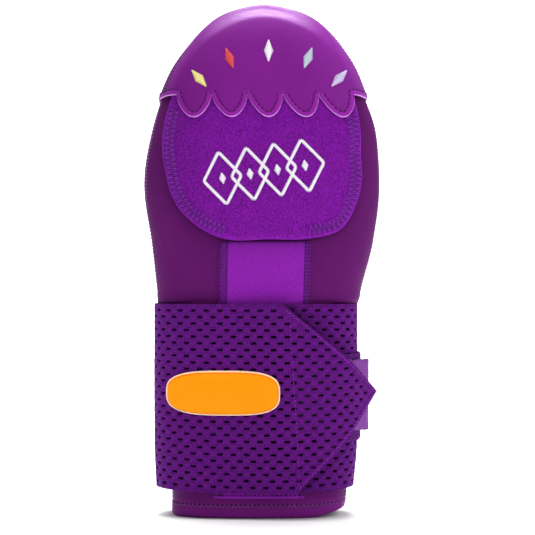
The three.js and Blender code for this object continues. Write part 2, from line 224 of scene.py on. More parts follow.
def softened(depths, values, odd):
    """The dome's curve without the small breaks in its bend at the table's rows."""
    spacing = depths[1] - depths[0]
    reach = int(DOME_REACH / spacing)
    mirrored = values[reach:0:-1] * (-1 if odd else 1)
    soft = blurred(mirrored, values, np.full(reach, values[-1]), DOME_SOFTNESS / spacing)
    share = 1 - smooth(depths, DOME_END, BODY_START)
    return soft * share + values * (1 - share)


SECTION_COLUMNS = ("left", "right", "front", "palm", "square")


def section_of(places, columns, spots):
    """Centre, half sizes and exponent of a section at some spots, from a table of its sides."""
    sides = {key: monotone(places, columns[key])(spots) for key in SECTION_COLUMNS}
    return {
        "x": (sides["right"] - sides["left"]) / 2,
        "y": (sides["palm"] - sides["front"]) / 2,
        "half_width": (sides["right"] + sides["left"]) / 2,
        "half_depth": (sides["palm"] + sides["front"]) / 2,
        "exponent": sides["square"],
    }


def pocket_curves(depths):
    curves = section_of(depth_at(POCKET["z"]), POCKET, depths)
    for key in ("x", "y", "half_width", "half_depth"):
        curves[key] = softened(depths, curves[key], key.startswith("half"))
    return curves


POCKET_DEPTHS = np.linspace(0, 1, DOME_STEPS)
POCKET_CURVES = pocket_curves(POCKET_DEPTHS)


def pocket_section(depth):
    return {key: np.interp(depth, POCKET_DEPTHS, curve) for key, curve in POCKET_CURVES.items()}


def wrap_section(z):
    return section_of(WRAP["z"], WRAP, z)


def superellipse(section, angle):
    exponent = section["exponent"]
    c, s = np.cos(np.radians(angle)), np.sin(np.radians(angle))
    grow = (np.abs(c) ** exponent + np.abs(s) ** exponent) ** (-1 / exponent)
    return (
        section["x"] + section["half_width"] * c * grow,
        section["y"] + section["half_depth"] * s * grow,
    )


def front_angle(section, x):
    """The angle of the front point of a section that has a given X."""
    exponent = section["exponent"]
    across = np.clip((x - section["x"]) / np.maximum(section["half_width"], 1e-6), -1, 1)
    depth = (1 - np.abs(across) ** exponent) ** (1 / exponent)
    return 360 + np.degrees(np.arctan2(-depth, across))


def soft_dents(points, size, height, seed):
    """Slow random swells over a surface, as soft foam and cloth have."""
    rng = np.random.default_rng(seed)
    total = np.zeros(points.shape[:-1])
    for _ in range(DENT_WAVES):
        direction = rng.normal(size=3)
        direction *= 2 * math.pi / size / np.linalg.norm(direction) * rng.uniform(0.6, 1.4)
        total += np.sin(points @ direction + rng.uniform(0, 2 * math.pi))
    return total * height / math.sqrt(DENT_WAVES)


def pocket_base(angle, depth):
    x, y = superellipse(pocket_section(depth), angle)
    z = height_at(depth)
    near_right = smooth(np.cos(np.radians(angle)), *RIM_SPAN)
    near_front = smooth(-np.sin(np.radians(angle)), *FRONT_SPAN)
    lift = RIM_LIFT * near_right + FRONT_LIFT * near_front
    z = z + lift * np.clip(1 - z / RIM_REACH, 0, None) ** 2
    return stacked(x, y, z)


def pocket_place(angle, depth, height, side=-1):
    """Points at a height over the pocket's outer face. The side is -1 for the back of the hand."""
    angle, depth, height = spread(angle, depth, height)
    base = pocket_base(angle, depth)
    around = pocket_base(angle + 0.5, depth) - pocket_base(angle - 0.5, depth)
    low = np.clip(depth + 0.001, 0, 1)
    high = np.clip(depth - 0.001, 0.0002, 1)
    down = pocket_base(angle, low) - pocket_base(angle, high)
    normal = np.cross(down, around)
    normal[..., 2] = np.where(depth > 0.9999, 0, normal[..., 2])
    size = np.linalg.norm(normal, axis=-1, keepdims=True)
    normal = np.where(size > 1e-9, normal / np.maximum(size, 1e-9), (0, 0, 1))
    swell = soft_dents(base, **SWELL) * smooth(base[..., 2], *SWELL_FADE)
    point = base + normal * (height + swell)[..., None]
    point[..., 1] += BALANCE_Y + side * SEAM_GAP / 2
    return point


def front_place(x, z, height, lift=None):
    """Points over the back of the hand, given X and Z. lift(angle, depth) adds to the height."""
    depth = depth_at(z)
    angle = front_angle(pocket_section(depth), x)
    return pocket_place(angle, depth, height + (lift(angle, depth) if lift else 0))


def seam_angle(which, depth):
    return monotone(depth_at(SEAM_TURNS["z"]), SEAM_TURNS[which])(depth)


def angle_across(half, share, depth):
    """The angle at a share of the way across one half of the pocket."""
    left, right = 180 + seam_angle("left", depth), -seam_angle("right", depth)
    start, end = (left, 360 + right) if half == "back" else (right, left)
    return start + (end - start) * share


SIDE = {"back": -1, "palm": 1}


def even_across(half, z):
    """Share of the way across, and length in mm, at even steps along the surface."""
    shares = np.linspace(0, 1, 401)
    depth = depth_at(z)
    points = pocket_base(angle_across(half, shares, depth), np.full_like(shares, depth))
    return shares, run_along(points)


def pad_polar(x, z):
    """Turn and distance about the pad's centre."""
    across, up = x - PAD_CENTRE[0], z - PAD_CENTRE[1]
    return np.arctan2(up, across), np.hypot(across, up)


def pad_point(turn, distance):
    """X and Z at a turn and a distance about the pad's centre."""
    return PAD_CENTRE[0] + np.cos(turn) * distance, PAD_CENTRE[1] + np.sin(turn) * distance


def pad_radius_curve():
    turn, radius = pad_polar(PAD_OUTLINE["x"], PAD_OUTLINE["z"])
    order = np.argsort(turn)
    turn, radius = turn[order], radius[order]
    turns = np.concatenate([turn[-2:] - 2 * math.pi, turn, turn[:2] + 2 * math.pi])
    return monotone(turns, np.concatenate([radius[-2:], radius, radius[:2]]))


def smooth_pad_radius():
    """The outline's radius by turn, with the small corners at the table's points rounded."""
    turns = np.linspace(-math.pi, math.pi, PAD_TURNS + 1)
    radii = pad_radius_curve()(turns)[:-1]
    soft = blurred(radii[-PAD_REACH:], radii, radii[:PAD_REACH], PAD_SOFTNESS)
    soft = np.append(soft, soft[0])
    return lambda turn: np.interp((turn + math.pi) % (2 * math.pi) - math.pi, turns, soft)


PAD_RADIUS = smooth_pad_radius()


def pad_share(x, z):
    turn, distance = pad_polar(x, z)
    return distance / PAD_RADIUS(turn)


def outside_pad(x, z):
    """Distance outside the pad's outline."""
    turn, distance = pad_polar(x, z)
    return distance - PAD_RADIUS(turn)


# The wrist wrap's base: a length along the band, and a height Z

def wrap_xy(angle, z, height, beyond=0):
    """X and Y at a height over the wrap's base, and some way straight on along the band."""
    section = wrap_section(z)
    x, y = superellipse(section, angle)
    ahead = superellipse(section, angle + 0.25)
    behind = superellipse(section, angle - 0.25)
    along_x, along_y = ahead[0] - behind[0], ahead[1] - behind[1]
    size = np.hypot(along_x, along_y)
    along_x, along_y = along_x / size, along_y / size
    return x + along_y * height + along_x * beyond, y - along_x * height + along_y * beyond


def wrap_lift(angle):
    return monotone(WRAP_LIFTS["angle"], WRAP_LIFTS["lift"])(angle)


def wrap_lengths():
    angles = np.arange(WRAP_START, WRAP_LEAVE + 0.25, 0.5)
    height = wrap_lift(angles) + WRAP_THICKNESS / 2
    return angles, run_along(stacked(*wrap_xy(angles, WRAP_TIP_Z, height)))


WRAP_ANGLES, WRAP_RUN = wrap_lengths()
WRAP_LENGTH = WRAP_RUN[-1] + WRAP_TAIL


def wrap_place(run, z, height, lift=None):
    """Points over the wrap's base, by length along the band. Past its end the band runs straight."""
    run, z, height = spread(run, z, height)
    angle = np.interp(run, WRAP_RUN, WRAP_ANGLES)
    beyond = np.clip(run - WRAP_RUN[-1], 0, None)
    total = height + (wrap_lift(angle) if lift is None else lift)
    to_front = np.clip(-np.sin(np.radians(angle)), 0, None) ** 2
    z = z - WRAP_SAG * to_front * (WRAP_HIGH - z) / (WRAP_HIGH - WRAP_LOW)
    x, y = wrap_xy(angle, z, total, beyond)
    return stacked(x, y + BALANCE_Y, z)


def run_at_angle(angle):
    return float(np.interp(angle, WRAP_ANGLES, WRAP_RUN))


def run_at_front_x(x):
    """Length along the outer layer where its face has a given X, over the back of the hand."""
    runs = np.linspace(run_at_angle(OUTER_LAYER_ANGLE), WRAP_LENGTH, 1200)
    return np.interp(x, wrap_place(runs, WRAP_TIP_Z, WRAP_THICKNESS)[:, 0], runs)


# Meshes

def placed(name, data):
    """A new object in the scene with some mesh, camera or lamp."""
    obj = bpy.data.objects.new(name, data)
    bpy.context.scene.collection.objects.link(obj)
    return obj


def make_object(name, vertices, faces, materials, indices=None, flow=None, tone=None):
    """An object on the mitt. Its tone, one value for each vertex, scales the material's colour; on several
    pieces it also carries painted shade and painted light.
    """
    mesh = bpy.data.meshes.new(name)
    mesh.from_pydata((vertices * MM).tolist(), [], faces)
    for item in materials:
        mesh.materials.append(item)
    if indices is not None:
        mesh.polygons.foreach_set("material_index", indices.astype(np.int32))
    mesh.polygons.foreach_set("use_smooth", np.ones(len(mesh.polygons), bool))
    if flow is not None:
        layer = mesh.attributes.new("flow", "FLOAT_VECTOR", "POINT")
        layer.data.foreach_set("vector", (np.asarray(flow, np.float32) * MM).ravel())
    layer = mesh.attributes.new("tone", "FLOAT", "POINT")
    tone = np.ones(len(vertices)) if tone is None else tone
    layer.data.foreach_set("value", tone.astype(np.float32))
    mesh.update()
    obj = placed(name, mesh)
    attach(obj, BODY)
    return obj


def signed_volume(vertices, faces):
    """Six times the volume that the faces enclose."""
    quads = np.array([(f[0], f[1], f[2], f[-1]) for f in faces])
    a, b, c, d = (vertices[quads[:, k]] for k in range(4))
    first = np.einsum("ij,ij->i", a, np.cross(b, c))
    second = np.einsum("ij,ij->i", a, np.cross(c, d))
    return first.sum() + second.sum()


def slab_mesh(outer, inner, pole=False, closed_end=False):
    """A slab between two grids of points, given as rows and columns.

    A pole is a first row that is one point. With closed_end the last rows of the two grids are
    the same line. Returns the vertices, the faces, the number of the first face in the walls,
    and the numbers of the points that are kept.
    """
    rows, columns = outer.shape[:2]
    top = np.arange(rows * columns).reshape(rows, columns)
    low = top + rows * columns
    if pole:
        top[0] = top[0, 0]
        low[0] = low[0, 0]
    if closed_end:
        low[-1] = top[-1]
    faces = []

    def strip(*corners):
        for face in zip(*(corner.ravel().tolist() for corner in corners)):
            kept = [v for i, v in enumerate(face) if v != face[i - 1]]
            if len(kept) > 2:
                faces.append(kept)

    strip(top[:-1, :-1], top[1:, :-1], top[1:, 1:], top[:-1, 1:])
    strip(low[:-1, :-1], low[:-1, 1:], low[1:, 1:], low[1:, :-1])
    wall_start = len(faces)
    strip(top[0, :-1], top[0, 1:], low[0, 1:], low[0, :-1])
    strip(top[-1, :-1], low[-1, :-1], low[-1, 1:], top[-1, 1:])
    strip(top[:-1, 0], low[:-1, 0], low[1:, 0], top[1:, 0])
    strip(top[:-1, -1], top[1:, -1], low[1:, -1], low[:-1, -1])
    points = np.concatenate([outer.reshape(-1, 3), inner.reshape(-1, 3)])
    used = np.unique(np.concatenate([np.asarray(f) for f in faces]))
    number = np.full(len(points), -1)
    number[used] = np.arange(len(used))
    faces = [number[f].tolist() for f in faces]
    if signed_volume(points[used], faces) < 0:
        faces = [f[::-1] for f in faces]
    return points[used], faces, wall_start, used


def slab(name, outer, inner, shade, slot, flow=None, tone=None, edge=None, **form):
    """A slab as an object. An edge is a material for the walls and the outer face's last row."""
    vertices, faces, wall_start, used = slab_mesh(outer, inner, **form)
    indices = np.zeros(len(faces), int)
    if edge:
        columns = outer.shape[1] - 1
        outer_end = (outer.shape[0] - 1) * columns
        indices[wall_start:] = 1
        indices[outer_end - columns:outer_end] = 1
    if flow is not None:
        flow = np.tile(flow.reshape(-1, 3), (2, 1))[used]
    if tone is not None:
        tone = np.tile(np.broadcast_to(tone, outer.shape[:2]).ravel(), 2)[used]
    materials = [shade, edge] if edge else [shade]
    return make_object(name, vertices, faces, materials, indices, flow, tone)


def disc_grid(count):
    """Share of the way out and turn, for a square grid bent into a disc with no pole."""
    line = np.linspace(-1, 1, count)
    u, v = np.meshgrid(line, line)
    share = np.maximum(np.abs(u), np.abs(v))
    turn = np.arctan2(v, u)
    safe = np.where(share > 0, share, 1)
    flat = np.abs(u) >= np.abs(v)
    local = np.where(flat, v / safe, u / safe) * math.pi / 4
    base = np.where(flat, np.where(u >= 0, 0, math.pi), np.where(v >= 0, math.pi / 2, -math.pi / 2))
    turn = base + np.where(flat, np.where(u >= 0, local, -local), np.where(v >= 0, -local, local))
    return share, turn


STITCH_SIDES, STITCH_RINGS, STITCH_END_SHARE = 6, 6, 0.55


def stitches(name, place, threads, shade, width, sink=0.35, arch=0.6):
    """Short threads lying on a surface: place(a, b, height) gives points over it.

    The threads are an array of their starts and one of their ends. Sink and arch are shares of
    the width: how deep the threads lie, and how far their middles rise.
    """
    starts, ends = (np.asarray(side, float) for side in threads)
    along = np.linspace(0, 1, STITCH_RINGS)
    flat = starts[:, None] + (ends - starts)[:, None] * along[None, :, None]
    profile = np.sin(math.pi * along)
    radius = width / 2 * (STITCH_END_SHARE + (1 - STITCH_END_SHARE) * profile)
    height = np.broadcast_to(width * (arch * profile - sink), flat.shape[:2])
    centre = place(flat[..., 0], flat[..., 1], height)
    up = unit(place(flat[..., 0], flat[..., 1], height + 0.5) - centre)
    forward = unit(np.gradient(centre, axis=1))
    side = unit(np.cross(forward, up))
    turn = np.linspace(0, 2 * math.pi, STITCH_SIDES, endpoint=False)[:, None]
    ring = side[:, :, None] * np.cos(turn) + np.cross(side, forward)[:, :, None] * np.sin(turn)
    points = centre[:, :, None] + ring * radius[None, :, None, None]
    index = np.arange(points[..., 0].size).reshape(points.shape[:3])
    following = np.roll(index, -1, axis=2)
    quads = stacked(index[:, :-1], following[:, :-1], following[:, 1:], index[:, 1:])
    caps = index[:, 0, ::-1].tolist() + index[:, -1].tolist()
    make_object(name, points.reshape(-1, 3), quads.reshape(-1, 4).tolist() + caps, [shade])


def walk(path, spacing, offset=0.0):
    """Points and unit directions at even distances along a path in surface coordinates."""
    path = np.asarray(path, float)
    run = run_along(path)
    places = np.arange(offset, run[-1], spacing)

    def at(lengths):
        return stacked(*(np.interp(lengths, run, column) for column in path.T))

    return at(places), unit(at(places + 0.3) - at(places - 0.3))


def running_stitch(path, pitch, length):
    points, direction = walk(path, pitch, pitch / 2)
    return points - direction * length / 2, points + direction * length / 2


def zigzag_stitch(path, pitch, width):
    points, direction = walk(path, pitch)
    sign = np.where(np.arange(len(points)) % 2, 1.0, -1.0)[:, None]
    corners = points + left_of(direction) * sign * width / 2
    return corners[:-1], corners[1:]


def bar_stitch(path, pitch, width, lean=0.0):
    """Threads across a path, each leaning along it by a share of the width."""
    points, direction = walk(path, pitch)
    slant = left_of(direction) * width / 2 + direction * lean * width / 2
    return points - slant, points + slant


def joined(rows):
    """Several rows of threads as one."""
    return tuple(np.concatenate(side) for side in zip(*rows))


# Materials

def srgb(red, green, blue):
    def linear(byte):
        c = byte / 255
        return c / 12.92 if c <= 0.04045 else ((c + 0.055) / 1.055) ** 2.4
    return (linear(red), linear(green), linear(blue), 1.0)


def scaled(colour, factor):
    return tuple(min(c * factor, 1.0) for c in colour[:3]) + (1.0,)


class Shade:
    """A principled material with helpers to add procedural detail to a base colour."""

    def __init__(self, name, base, roughness, **inputs):
        self.material = bpy.data.materials.new(name)
        self.material.use_nodes = True
        self.tree = self.material.node_tree
        self.surface = self.tree.nodes["Principled BSDF"]
        for key, value in {"Base_Color": base, "Roughness": roughness, **inputs}.items():
            self.surface.inputs[key.replace("_", " ")].default_value = value
        self.base = self.colour = base
        self.normal = None

    @functools.cached_property
    def where(self):
        """The vector that the patterns lie on."""
        return self.node("TexCoord", "Object")

    def follow_flow(self):
        """Lays the patterns along the mesh's flow."""
        self.where = self.node("Attribute", "Vector", attribute_name="flow")

    def feed(self, socket, value):
        """Links an output to a socket, or sets a plain value on it."""
        if isinstance(value, bpy.types.NodeSocket):
            self.tree.links.new(value, socket)
        else:
            socket.default_value = value

    def node(self, kind, output, inputs=None, **settings):
        """The output of a new node, given the values or links of its inputs."""
        made = self.tree.nodes.new("ShaderNode" + kind)
        for key, value in settings.items():
            setattr(made, key, value)
        for key, value in (inputs or {}).items():
            self.feed(made.inputs[key], value)
        return made.outputs[output]

    def noise(self, scale, detail=3.0, roughness=0.6, stretch=(1, 1, 1)):
        vector = self.where
        if stretch != (1, 1, 1):
            vector = self.node("Mapping", "Vector", {"Vector": vector, "Scale": stretch})
        inputs = {"Vector": vector, "Scale": scale, "Detail": detail, "Roughness": roughness}
        return self.node("TexNoise", "Fac", inputs)

    def cells(self, scale):
        return self.node("TexVoronoi", "Distance", {"Vector": self.where, "Scale": scale})

    def waves(self, scale, direction, distortion):
        inputs = {"Vector": self.where, "Scale": scale, "Distortion": distortion}
        return self.node("TexWave", "Fac", inputs, bands_direction=direction)

    def fitted(self, value, low, high, to_low=0, to_high=1):
        inputs = {"Value": value, "From Min": low, "From Max": high, "To Min": to_low, "To Max": to_high}
        return self.node("MapRange", "Result", inputs)

    def tint(self, factor, first, second):
        """Mixes two colours by a factor. The numbers are those of the node's colour sockets."""
        return self.node("Mix", 2, {0: factor, 6: first, 7: second}, data_type="RGBA")

    def mottle(self, pattern, low, high, dark, light):
        """Makes the base colour darker and lighter by a pattern."""
        darker, lighter = scaled(self.base, dark), scaled(self.base, light)
        self.colour = self.tint(self.fitted(pattern, low, high), darker, lighter)

    def veil(self, pattern, low, high, share, colour):
        """Lays a colour over the others by a pattern, up to a share."""
        self.colour = self.tint(self.fitted(pattern, low, high, 0, share), self.colour, colour)

    def relief(self, height, distance, strength):
        """Adds a bump, chained onto the ones before it."""
        inputs = {"Height": height, "Distance": distance, "Strength": strength}
        if self.normal is not None:
            inputs["Normal"] = self.normal
        self.normal = self.node("Bump", "Normal", inputs)
        self.feed(self.surface.inputs["Normal"], self.normal)

    def finished(self):
        """The material, with its colour scaled by the mesh's tone."""
        tone = self.node("Attribute", "Fac", attribute_name="tone")
        inputs = {"Vector": self.colour, "Scale": tone}
        painted = self.node("VectorMath", "Vector", inputs, operation="SCALE")
        self.feed(self.surface.inputs["Base Color"], painted)
        return self.material


def neoprene_shade():
    shade = Shade("neoprene_face", srgb(87, 18, 92), 0.6, Specular_IOR_Level=0.2,
                  Specular_Tint=srgb(225, 130, 235))
    shade.mottle(shade.noise(28), 0.3, 0.7, 0.92, 1.1)
    shade.veil(shade.noise(1500, 2), 0.25, 0.75, 0.5, scaled(shade.base, 0.76))
    shade.relief(shade.noise(2600, 2), 0.00012, 0.5)
    shade.relief(shade.noise(90), 0.0006, 0.25)
    return shade.finished()


def leather_shade():
    shade = Shade("leather_face", srgb(114, 27, 126), 0.4, Specular_IOR_Level=0.22,
                  Specular_Tint=srgb(210, 135, 250))
    shade.mottle(shade.noise(22, 4), 0.3, 0.7, 0.92, 1.08)
    wear = shade.fitted(shade.noise(260), 0.3, 0.7, 0.36, 0.48)
    shade.feed(shade.surface.inputs["Roughness"], wear)
    shade.relief(shade.cells(1500), 0.00008, 0.35)
    shade.relief(shade.noise(420, 4), 0.00012, 0.3)
    shade.relief(shade.noise(60), 0.0008, 0.25)
    return shade.finished()


def leather_edge_shade():
    shade = Shade("leather_edge", srgb(186, 120, 200), 0.7)
    shade.relief(shade.noise(1800), 0.0002, 0.6)
    fibres = shade.fitted(shade.noise(500), 0.3, 0.7)
    shade.colour = shade.tint(fibres, srgb(150, 84, 162), srgb(196, 136, 204))
    return shade.finished()


def plush_shade():
    shade = Shade("plush_pile", srgb(120, 18, 151), 0.95, Specular_IOR_Level=0.1,
                  Sheen_Weight=0.25, Sheen_Roughness=0.5, Sheen_Tint=srgb(200, 80, 240))
    speckle = shade.noise(1250, 3, 0.75)
    clump = shade.noise(330, 3, 0.7)
    shade.mottle(speckle, 0.36, 0.64, 0.3, 1.6)
    shade.veil(clump, 0.3, 0.7, 0.4, scaled(shade.base, 0.75))
    shade.relief(speckle, 0.0009, 0.9)
    shade.relief(clump, 0.001, 0.5)
    return shade.finished()


def tape_shade():
    shade = Shade("loop_tape_face", srgb(131, 24, 161), 0.85, Specular_IOR_Level=0.15,
                  Sheen_Weight=0.2, Sheen_Roughness=0.5, Sheen_Tint=srgb(215, 100, 245))
    brushed = shade.noise(1400, 3, 0.65, stretch=(1, 1, 0.35))
    shade.mottle(brushed, 0.35, 0.65, 0.82, 1.12)
    shade.veil(shade.noise(60), 0.3, 0.7, 0.3, scaled(shade.base, 0.85))
    shade.relief(brushed, 0.0004, 0.6)
    return shade.finished()


def elastic_shade():
    shade = Shade("elastic_knit", srgb(83, 13, 113), 0.8, Specular_IOR_Level=0.15,
                  Specular_Tint=srgb(238, 190, 255), Sheen_Weight=0.1, Sheen_Roughness=0.5,
                  Sheen_Tint=srgb(190, 90, 235))
    shade.follow_flow()
    ribs_and_yarns = {0: shade.waves(280, "Y", 0.6), 1: shade.waves(350, "X", 1.2)}
    weave = shade.node("Math", "Value", ribs_and_yarns, operation="MULTIPLY")
    fuzz = shade.noise(1300, 3, 0.7)
    shade.mottle(weave, 0, 0.6, 0.66, 1.2)
    shade.veil(fuzz, 0.35, 0.65, 0.5, scaled(shade.base, 0.7))
    shade.veil(shade.noise(520), 0.45, 0.7, 0.45, srgb(110, 14, 116))
    shade.relief(weave, 0.00025, 0.7)
    shade.relief(fuzz, 0.0003, 0.4)
    return shade.finished()


def loop_shade():
    shade = Shade("loop_pile", srgb(77, 21, 99), 0.95, Specular_IOR_Level=0.1,
                  Sheen_Weight=0.12, Sheen_Roughness=0.6, Sheen_Tint=srgb(170, 80, 220))
    pile = shade.noise(900, 3, 0.75)
    shade.mottle(pile, 0.35, 0.65, 0.5, 1.3)
    shade.relief(pile, 0.0008, 0.8)
    return shade.finished()


def hook_shade():
    shade = Shade("hook_tape", srgb(121, 54, 146), 0.55, Specular_IOR_Level=0.3)
    shade.follow_flow()
    ribs = shade.waves(0.1 * math.pi / (HOOK_RIB * MM), "X", 0.3)
    fine = shade.noise(1500, 2)
    shade.mottle(fine, 0.3, 0.7, 0.8, 1.15)
    shade.veil(ribs, 0, 1, 0.35, scaled(shade.base, 0.5))
    shade.relief(ribs, 0.0003, 0.6)
    shade.relief(fine, 0.0003, 0.5)
    return shade.finished()


def rubber_shade(name, base, roughness):
    shade = Shade(name, base, roughness, Specular_IOR_Level=0.08)
    shade.mottle(shade.noise(90), 0.3, 0.7, 0.95, 1.02)
    shade.relief(shade.noise(900), 0.00006, 0.4)
    return shade.finished()


def thread_shade(name, *colour, roughness=0.5):
    shade = Shade(f"thread_{name}", srgb(*colour), roughness, Specular_IOR_Level=0.15)
    twist = shade.noise(2400, 2)
    shade.mottle(twist, 0.3, 0.7, 0.82, 1.08)
    shade.relief(twist, 0.00015, 0.5)
    return shade.finished()


NEOPRENE = neoprene_shade()
LEATHER = leather_shade()
LEATHER_EDGE = leather_edge_shade()
PLUSH = plush_shade()
TAPE = tape_shade()
ELASTIC = elastic_shade()
LOOP_PILE = loop_shade()
HOOK_TAPE = hook_shade()
BADGE_ORANGE = rubber_shade("badge_rubber", srgb(255, 143, 0), 0.4)
BADGE_RIM = rubber_shade("badge_rim", srgb(252, 220, 184), 0.45)
DARK_THREAD = thread_shade("dark", 48, 10, 62)
SHELL_THREAD = thread_shade("shell", 150, 66, 164)
SEAM_THREAD = thread_shade("seam", 170, 104, 182)
MID_THREAD = thread_shade("purple", 132, 36, 164)
DEEP_THREAD = thread_shade("deep", 96, 22, 126)
PAD_THREAD = thread_shade("pad", 136, 42, 174)
LIGHT_THREAD = thread_shade("white", 244, 238, 248, roughness=0.4)


# The neoprene pocket

HEM_SEAM_Z, HEM_SEAM_INSET = 6.4, 3
SEAM_BULGE = 1.5
PANEL = {"back": "backhand_panel", "palm": "palm_panel"}
PANEL_COLUMNS = 111


def pocket_rows():
    """Z of each row from the tip to the rounded rim, close together where the form turns."""
    rim = NEOPRENE_WALL / 2 * (1 - np.sin(np.linspace(0, math.pi / 2, 7)))
    hem = np.arange(12.5, NEOPRENE_WALL / 2 + 0.2, -0.5)
    body = height_at(np.linspace(0, float(depth_at(13.0)), 150))
    neck = np.arange(119.5, 114, -0.4)
    body = body[(body > 120) | (body < 113.5)]
    return np.sort(np.concatenate([body, neck, hem, rim]))[::-1]


def seam_distances(share, depth):
    """Half the depth of the pocket, and the distances from the nearer and from the left seam."""
    half_depth = pocket_section(depth)["half_depth"]
    return half_depth, np.minimum(share, 1 - share) * math.pi * half_depth, share * math.pi * half_depth


def pocket_half(half):
    z = pocket_rows()[:, None]
    even = np.linspace(0, 1, PANEL_COLUMNS)
    share = (0.35 * (0.5 - 0.5 * np.cos(even * math.pi)) + 0.65 * even)[None, :]
    depth = depth_at(z)
    angle = angle_across(half, share, depth)
    half_depth, from_seam, from_left = seam_distances(share, depth)
    pinch = (0.45 * bump(from_seam, 0, 1.3) + 0.05 * bump(from_seam, 0, 4)) * smooth(half_depth, 4, 12)
    hem = 0.4 * smooth(z, 7.5, 5.5) - 0.4 * bump(z, 6.8, 0.9)
    at_side = smooth(np.abs(np.cos(np.radians(angle))), 0.6, 0.9)
    over_wrap = (1.7 * bump(z, 116.7, 1.1) + 0.7 * bump(z, 119, 2.5)) * at_side
    radius = NEOPRENE_WALL / 2
    turned_in = radius - np.sqrt(np.clip(radius ** 2 - np.clip(radius - z, 0, None) ** 2, 0, None))
    height = hem * smooth(z, 0, 1.5) + over_wrap - pinch - turned_in
    outer = pocket_place(angle, depth, height, SIDE[half])
    inner = pocket_place(angle, depth, -NEOPRENE_WALL + turned_in, SIDE[half])
    # Darker along the side seams and at the hem seam. The + 0.65 term is painted light: the lowest 12 mm of
    # the cuff is lighter, standing in for light bounced up from the floor.
    tone = 1 - 0.45 * bump(from_seam, 0, 1.5) - 0.2 * bump(z, HEM_SEAM_Z, 1.6) + 0.65 * smooth(z, 12, 5)
    if half == "back":
        # Painted shadow: the shell is darker in a band just outside the knuckle pad's outline, where the
        # pad's edge would shade it.
        gap = np.clip(outside_pad(outer[..., 0], outer[..., 2]), 0, None)
        tone = tone * (1 - 0.4 * bump(gap, 0, 1.3) - 0.12 * bump(gap, 0, 5))
        # Painted shade: the back of the hand is darker towards its left side, as if lit from the right.
        tone = tone * (1 - 0.25 * bump(from_left, 0, 9))
    obj = slab(PANEL[half] + "_sewn", outer, inner, NEOPRENE, "neoprene", stacked(angle * 0.9, z, 0), tone,
               pole=True, closed_end=True)
    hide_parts(PANEL[half])


def seam_turned(which, depth, degrees=0):
    """The angle of a side seam, turned by some degrees towards the front."""
    turn = seam_angle(which, depth) + degrees
    return 180 + turn if which == "left" else 360 - turn


def seam_lengths(which):
    """Z and length along a side seam, from the cuff up."""
    z = np.linspace(0.5, 276, 500)
    depth = depth_at(z)
    return z, run_along(pocket_base(seam_turned(which, depth), depth))


SEAM_RUNS = {which: seam_lengths(which) for which in ("left", "right")}


def seam_place(which, lift=None):
    """Points over a side seam: millimetres across it towards the front, and length along it.

    lift(angle, depth) is the height of what lies over the pocket there.
    """
    def place(across, run, height):
        heights, runs = SEAM_RUNS[which]
        depth = depth_at(np.interp(run, runs, heights))
        degrees = np.degrees(across / (pocket_section(depth)["half_depth"] + SEAM_BULGE))
        angle = seam_turned(which, depth, degrees)
        return pocket_place(angle, depth, height + (lift(angle, depth) if lift else 0), 0)
    return place


def seam_path(which, low, high, across):
    return [(across, end) for end in np.interp([low, high], *SEAM_RUNS[which])]


def side_stitching():
    for which, across in (("left", 1.4), ("right", -0.6)):
        for part, low, high in (("body", 117.5, 226), ("cuff", 1.5, 15)):
            threads = bar_stitch(seam_path(which, low, high, across), 2.0, 5.6, lean=0.2)
            stitches(f"side_seam_stitches_{which}_{part}", seam_place(which), threads, SEAM_THREAD,
                     0.75, sink=0.3, arch=0.3)


def hem_stitching(half):
    share, length = even_across(half, HEM_SEAM_Z)

    def place(run, z, height):
        depth = depth_at(z)
        angle = angle_across(half, np.interp(run, length, share), depth)
        return pocket_place(angle, depth, height, SIDE[half])

    for row, shift, thread in (("light", 0, SHELL_THREAD), ("dark", 0.6, DARK_THREAD)):
        ends = (HEM_SEAM_INSET + shift, length[-1] - HEM_SEAM_INSET)
        threads = zigzag_stitch([(end, HEM_SEAM_Z) for end in ends], 1.25, 3.0)
        stitches(f"hem_stitches_{half}_{row}", place, threads, thread, 0.55, sink=0.3, arch=0.5)


for half in SIDE:
    pocket_half(half)
side_stitching()
for half in SIDE:
    hem_stitching(half)


# The leather fingertip cap

CAP = {"back": "fingertip_cap_front", "palm": "fingertip_cap_palm"}
CAP_COLUMNS = {"back": (CAP_LOBES + 2) * 34 + 1, "palm": PANEL_COLUMNS}
CAP_ROWS, CAP_EDGE_ROWS, CAP_EDGE_START = 66, 46, 0.88
CAP_EDGE_REACH, CAP_EDGE_SAMPLES, CAP_EDGE_PIECES = 14, 1200, 20


def cap_edge(half, share):
    if half == "palm":
        return CAP_SEAM_Z - CAP_PALM_DIP * np.sin(math.pi * share) ** 2
    place = share * (CAP_LOBES + 2)
    wave = np.abs(np.sin(math.pi * place)) ** CAP_ROUNDNESS
    return CAP_SEAM_Z - np.where((place < 1) | (place > CAP_LOBES + 1), 0, CAP_LOBE_DEPTH * wave)


def cap_lift(half, angle, depth):
    """How far the leather lies off the pocket, over the pad."""
    if half == "palm":
        return np.zeros(np.broadcast(angle, depth).shape)
    base = pocket_base(angle, depth)
    end = 1 + CAP_RAMP_SHARE + CAP_SIDE_RAMP_SHARE * smooth(base[..., 2], 262, 240)
    over_pad = 1 - smooth(pad_share(base[..., 0], base[..., 2]), 0.94, end)
    from_seam = smooth(np.abs(np.sin(np.radians(angle))), 0, CAP_SEAM_BLEND)
    return (PAD_GAP + PAD_TOP) * over_pad * from_seam


def cap_top(angle, depth, half="back"):
    """Height of the leather's face over the pocket."""
    return CAP_GAP + CAP_THICKNESS + cap_lift(half, angle, depth)


CAP_SHARES, CAP_ARCS = even_across("back", CAP_SEAM_Z)
CAP_ARC = CAP_ARCS[-1]


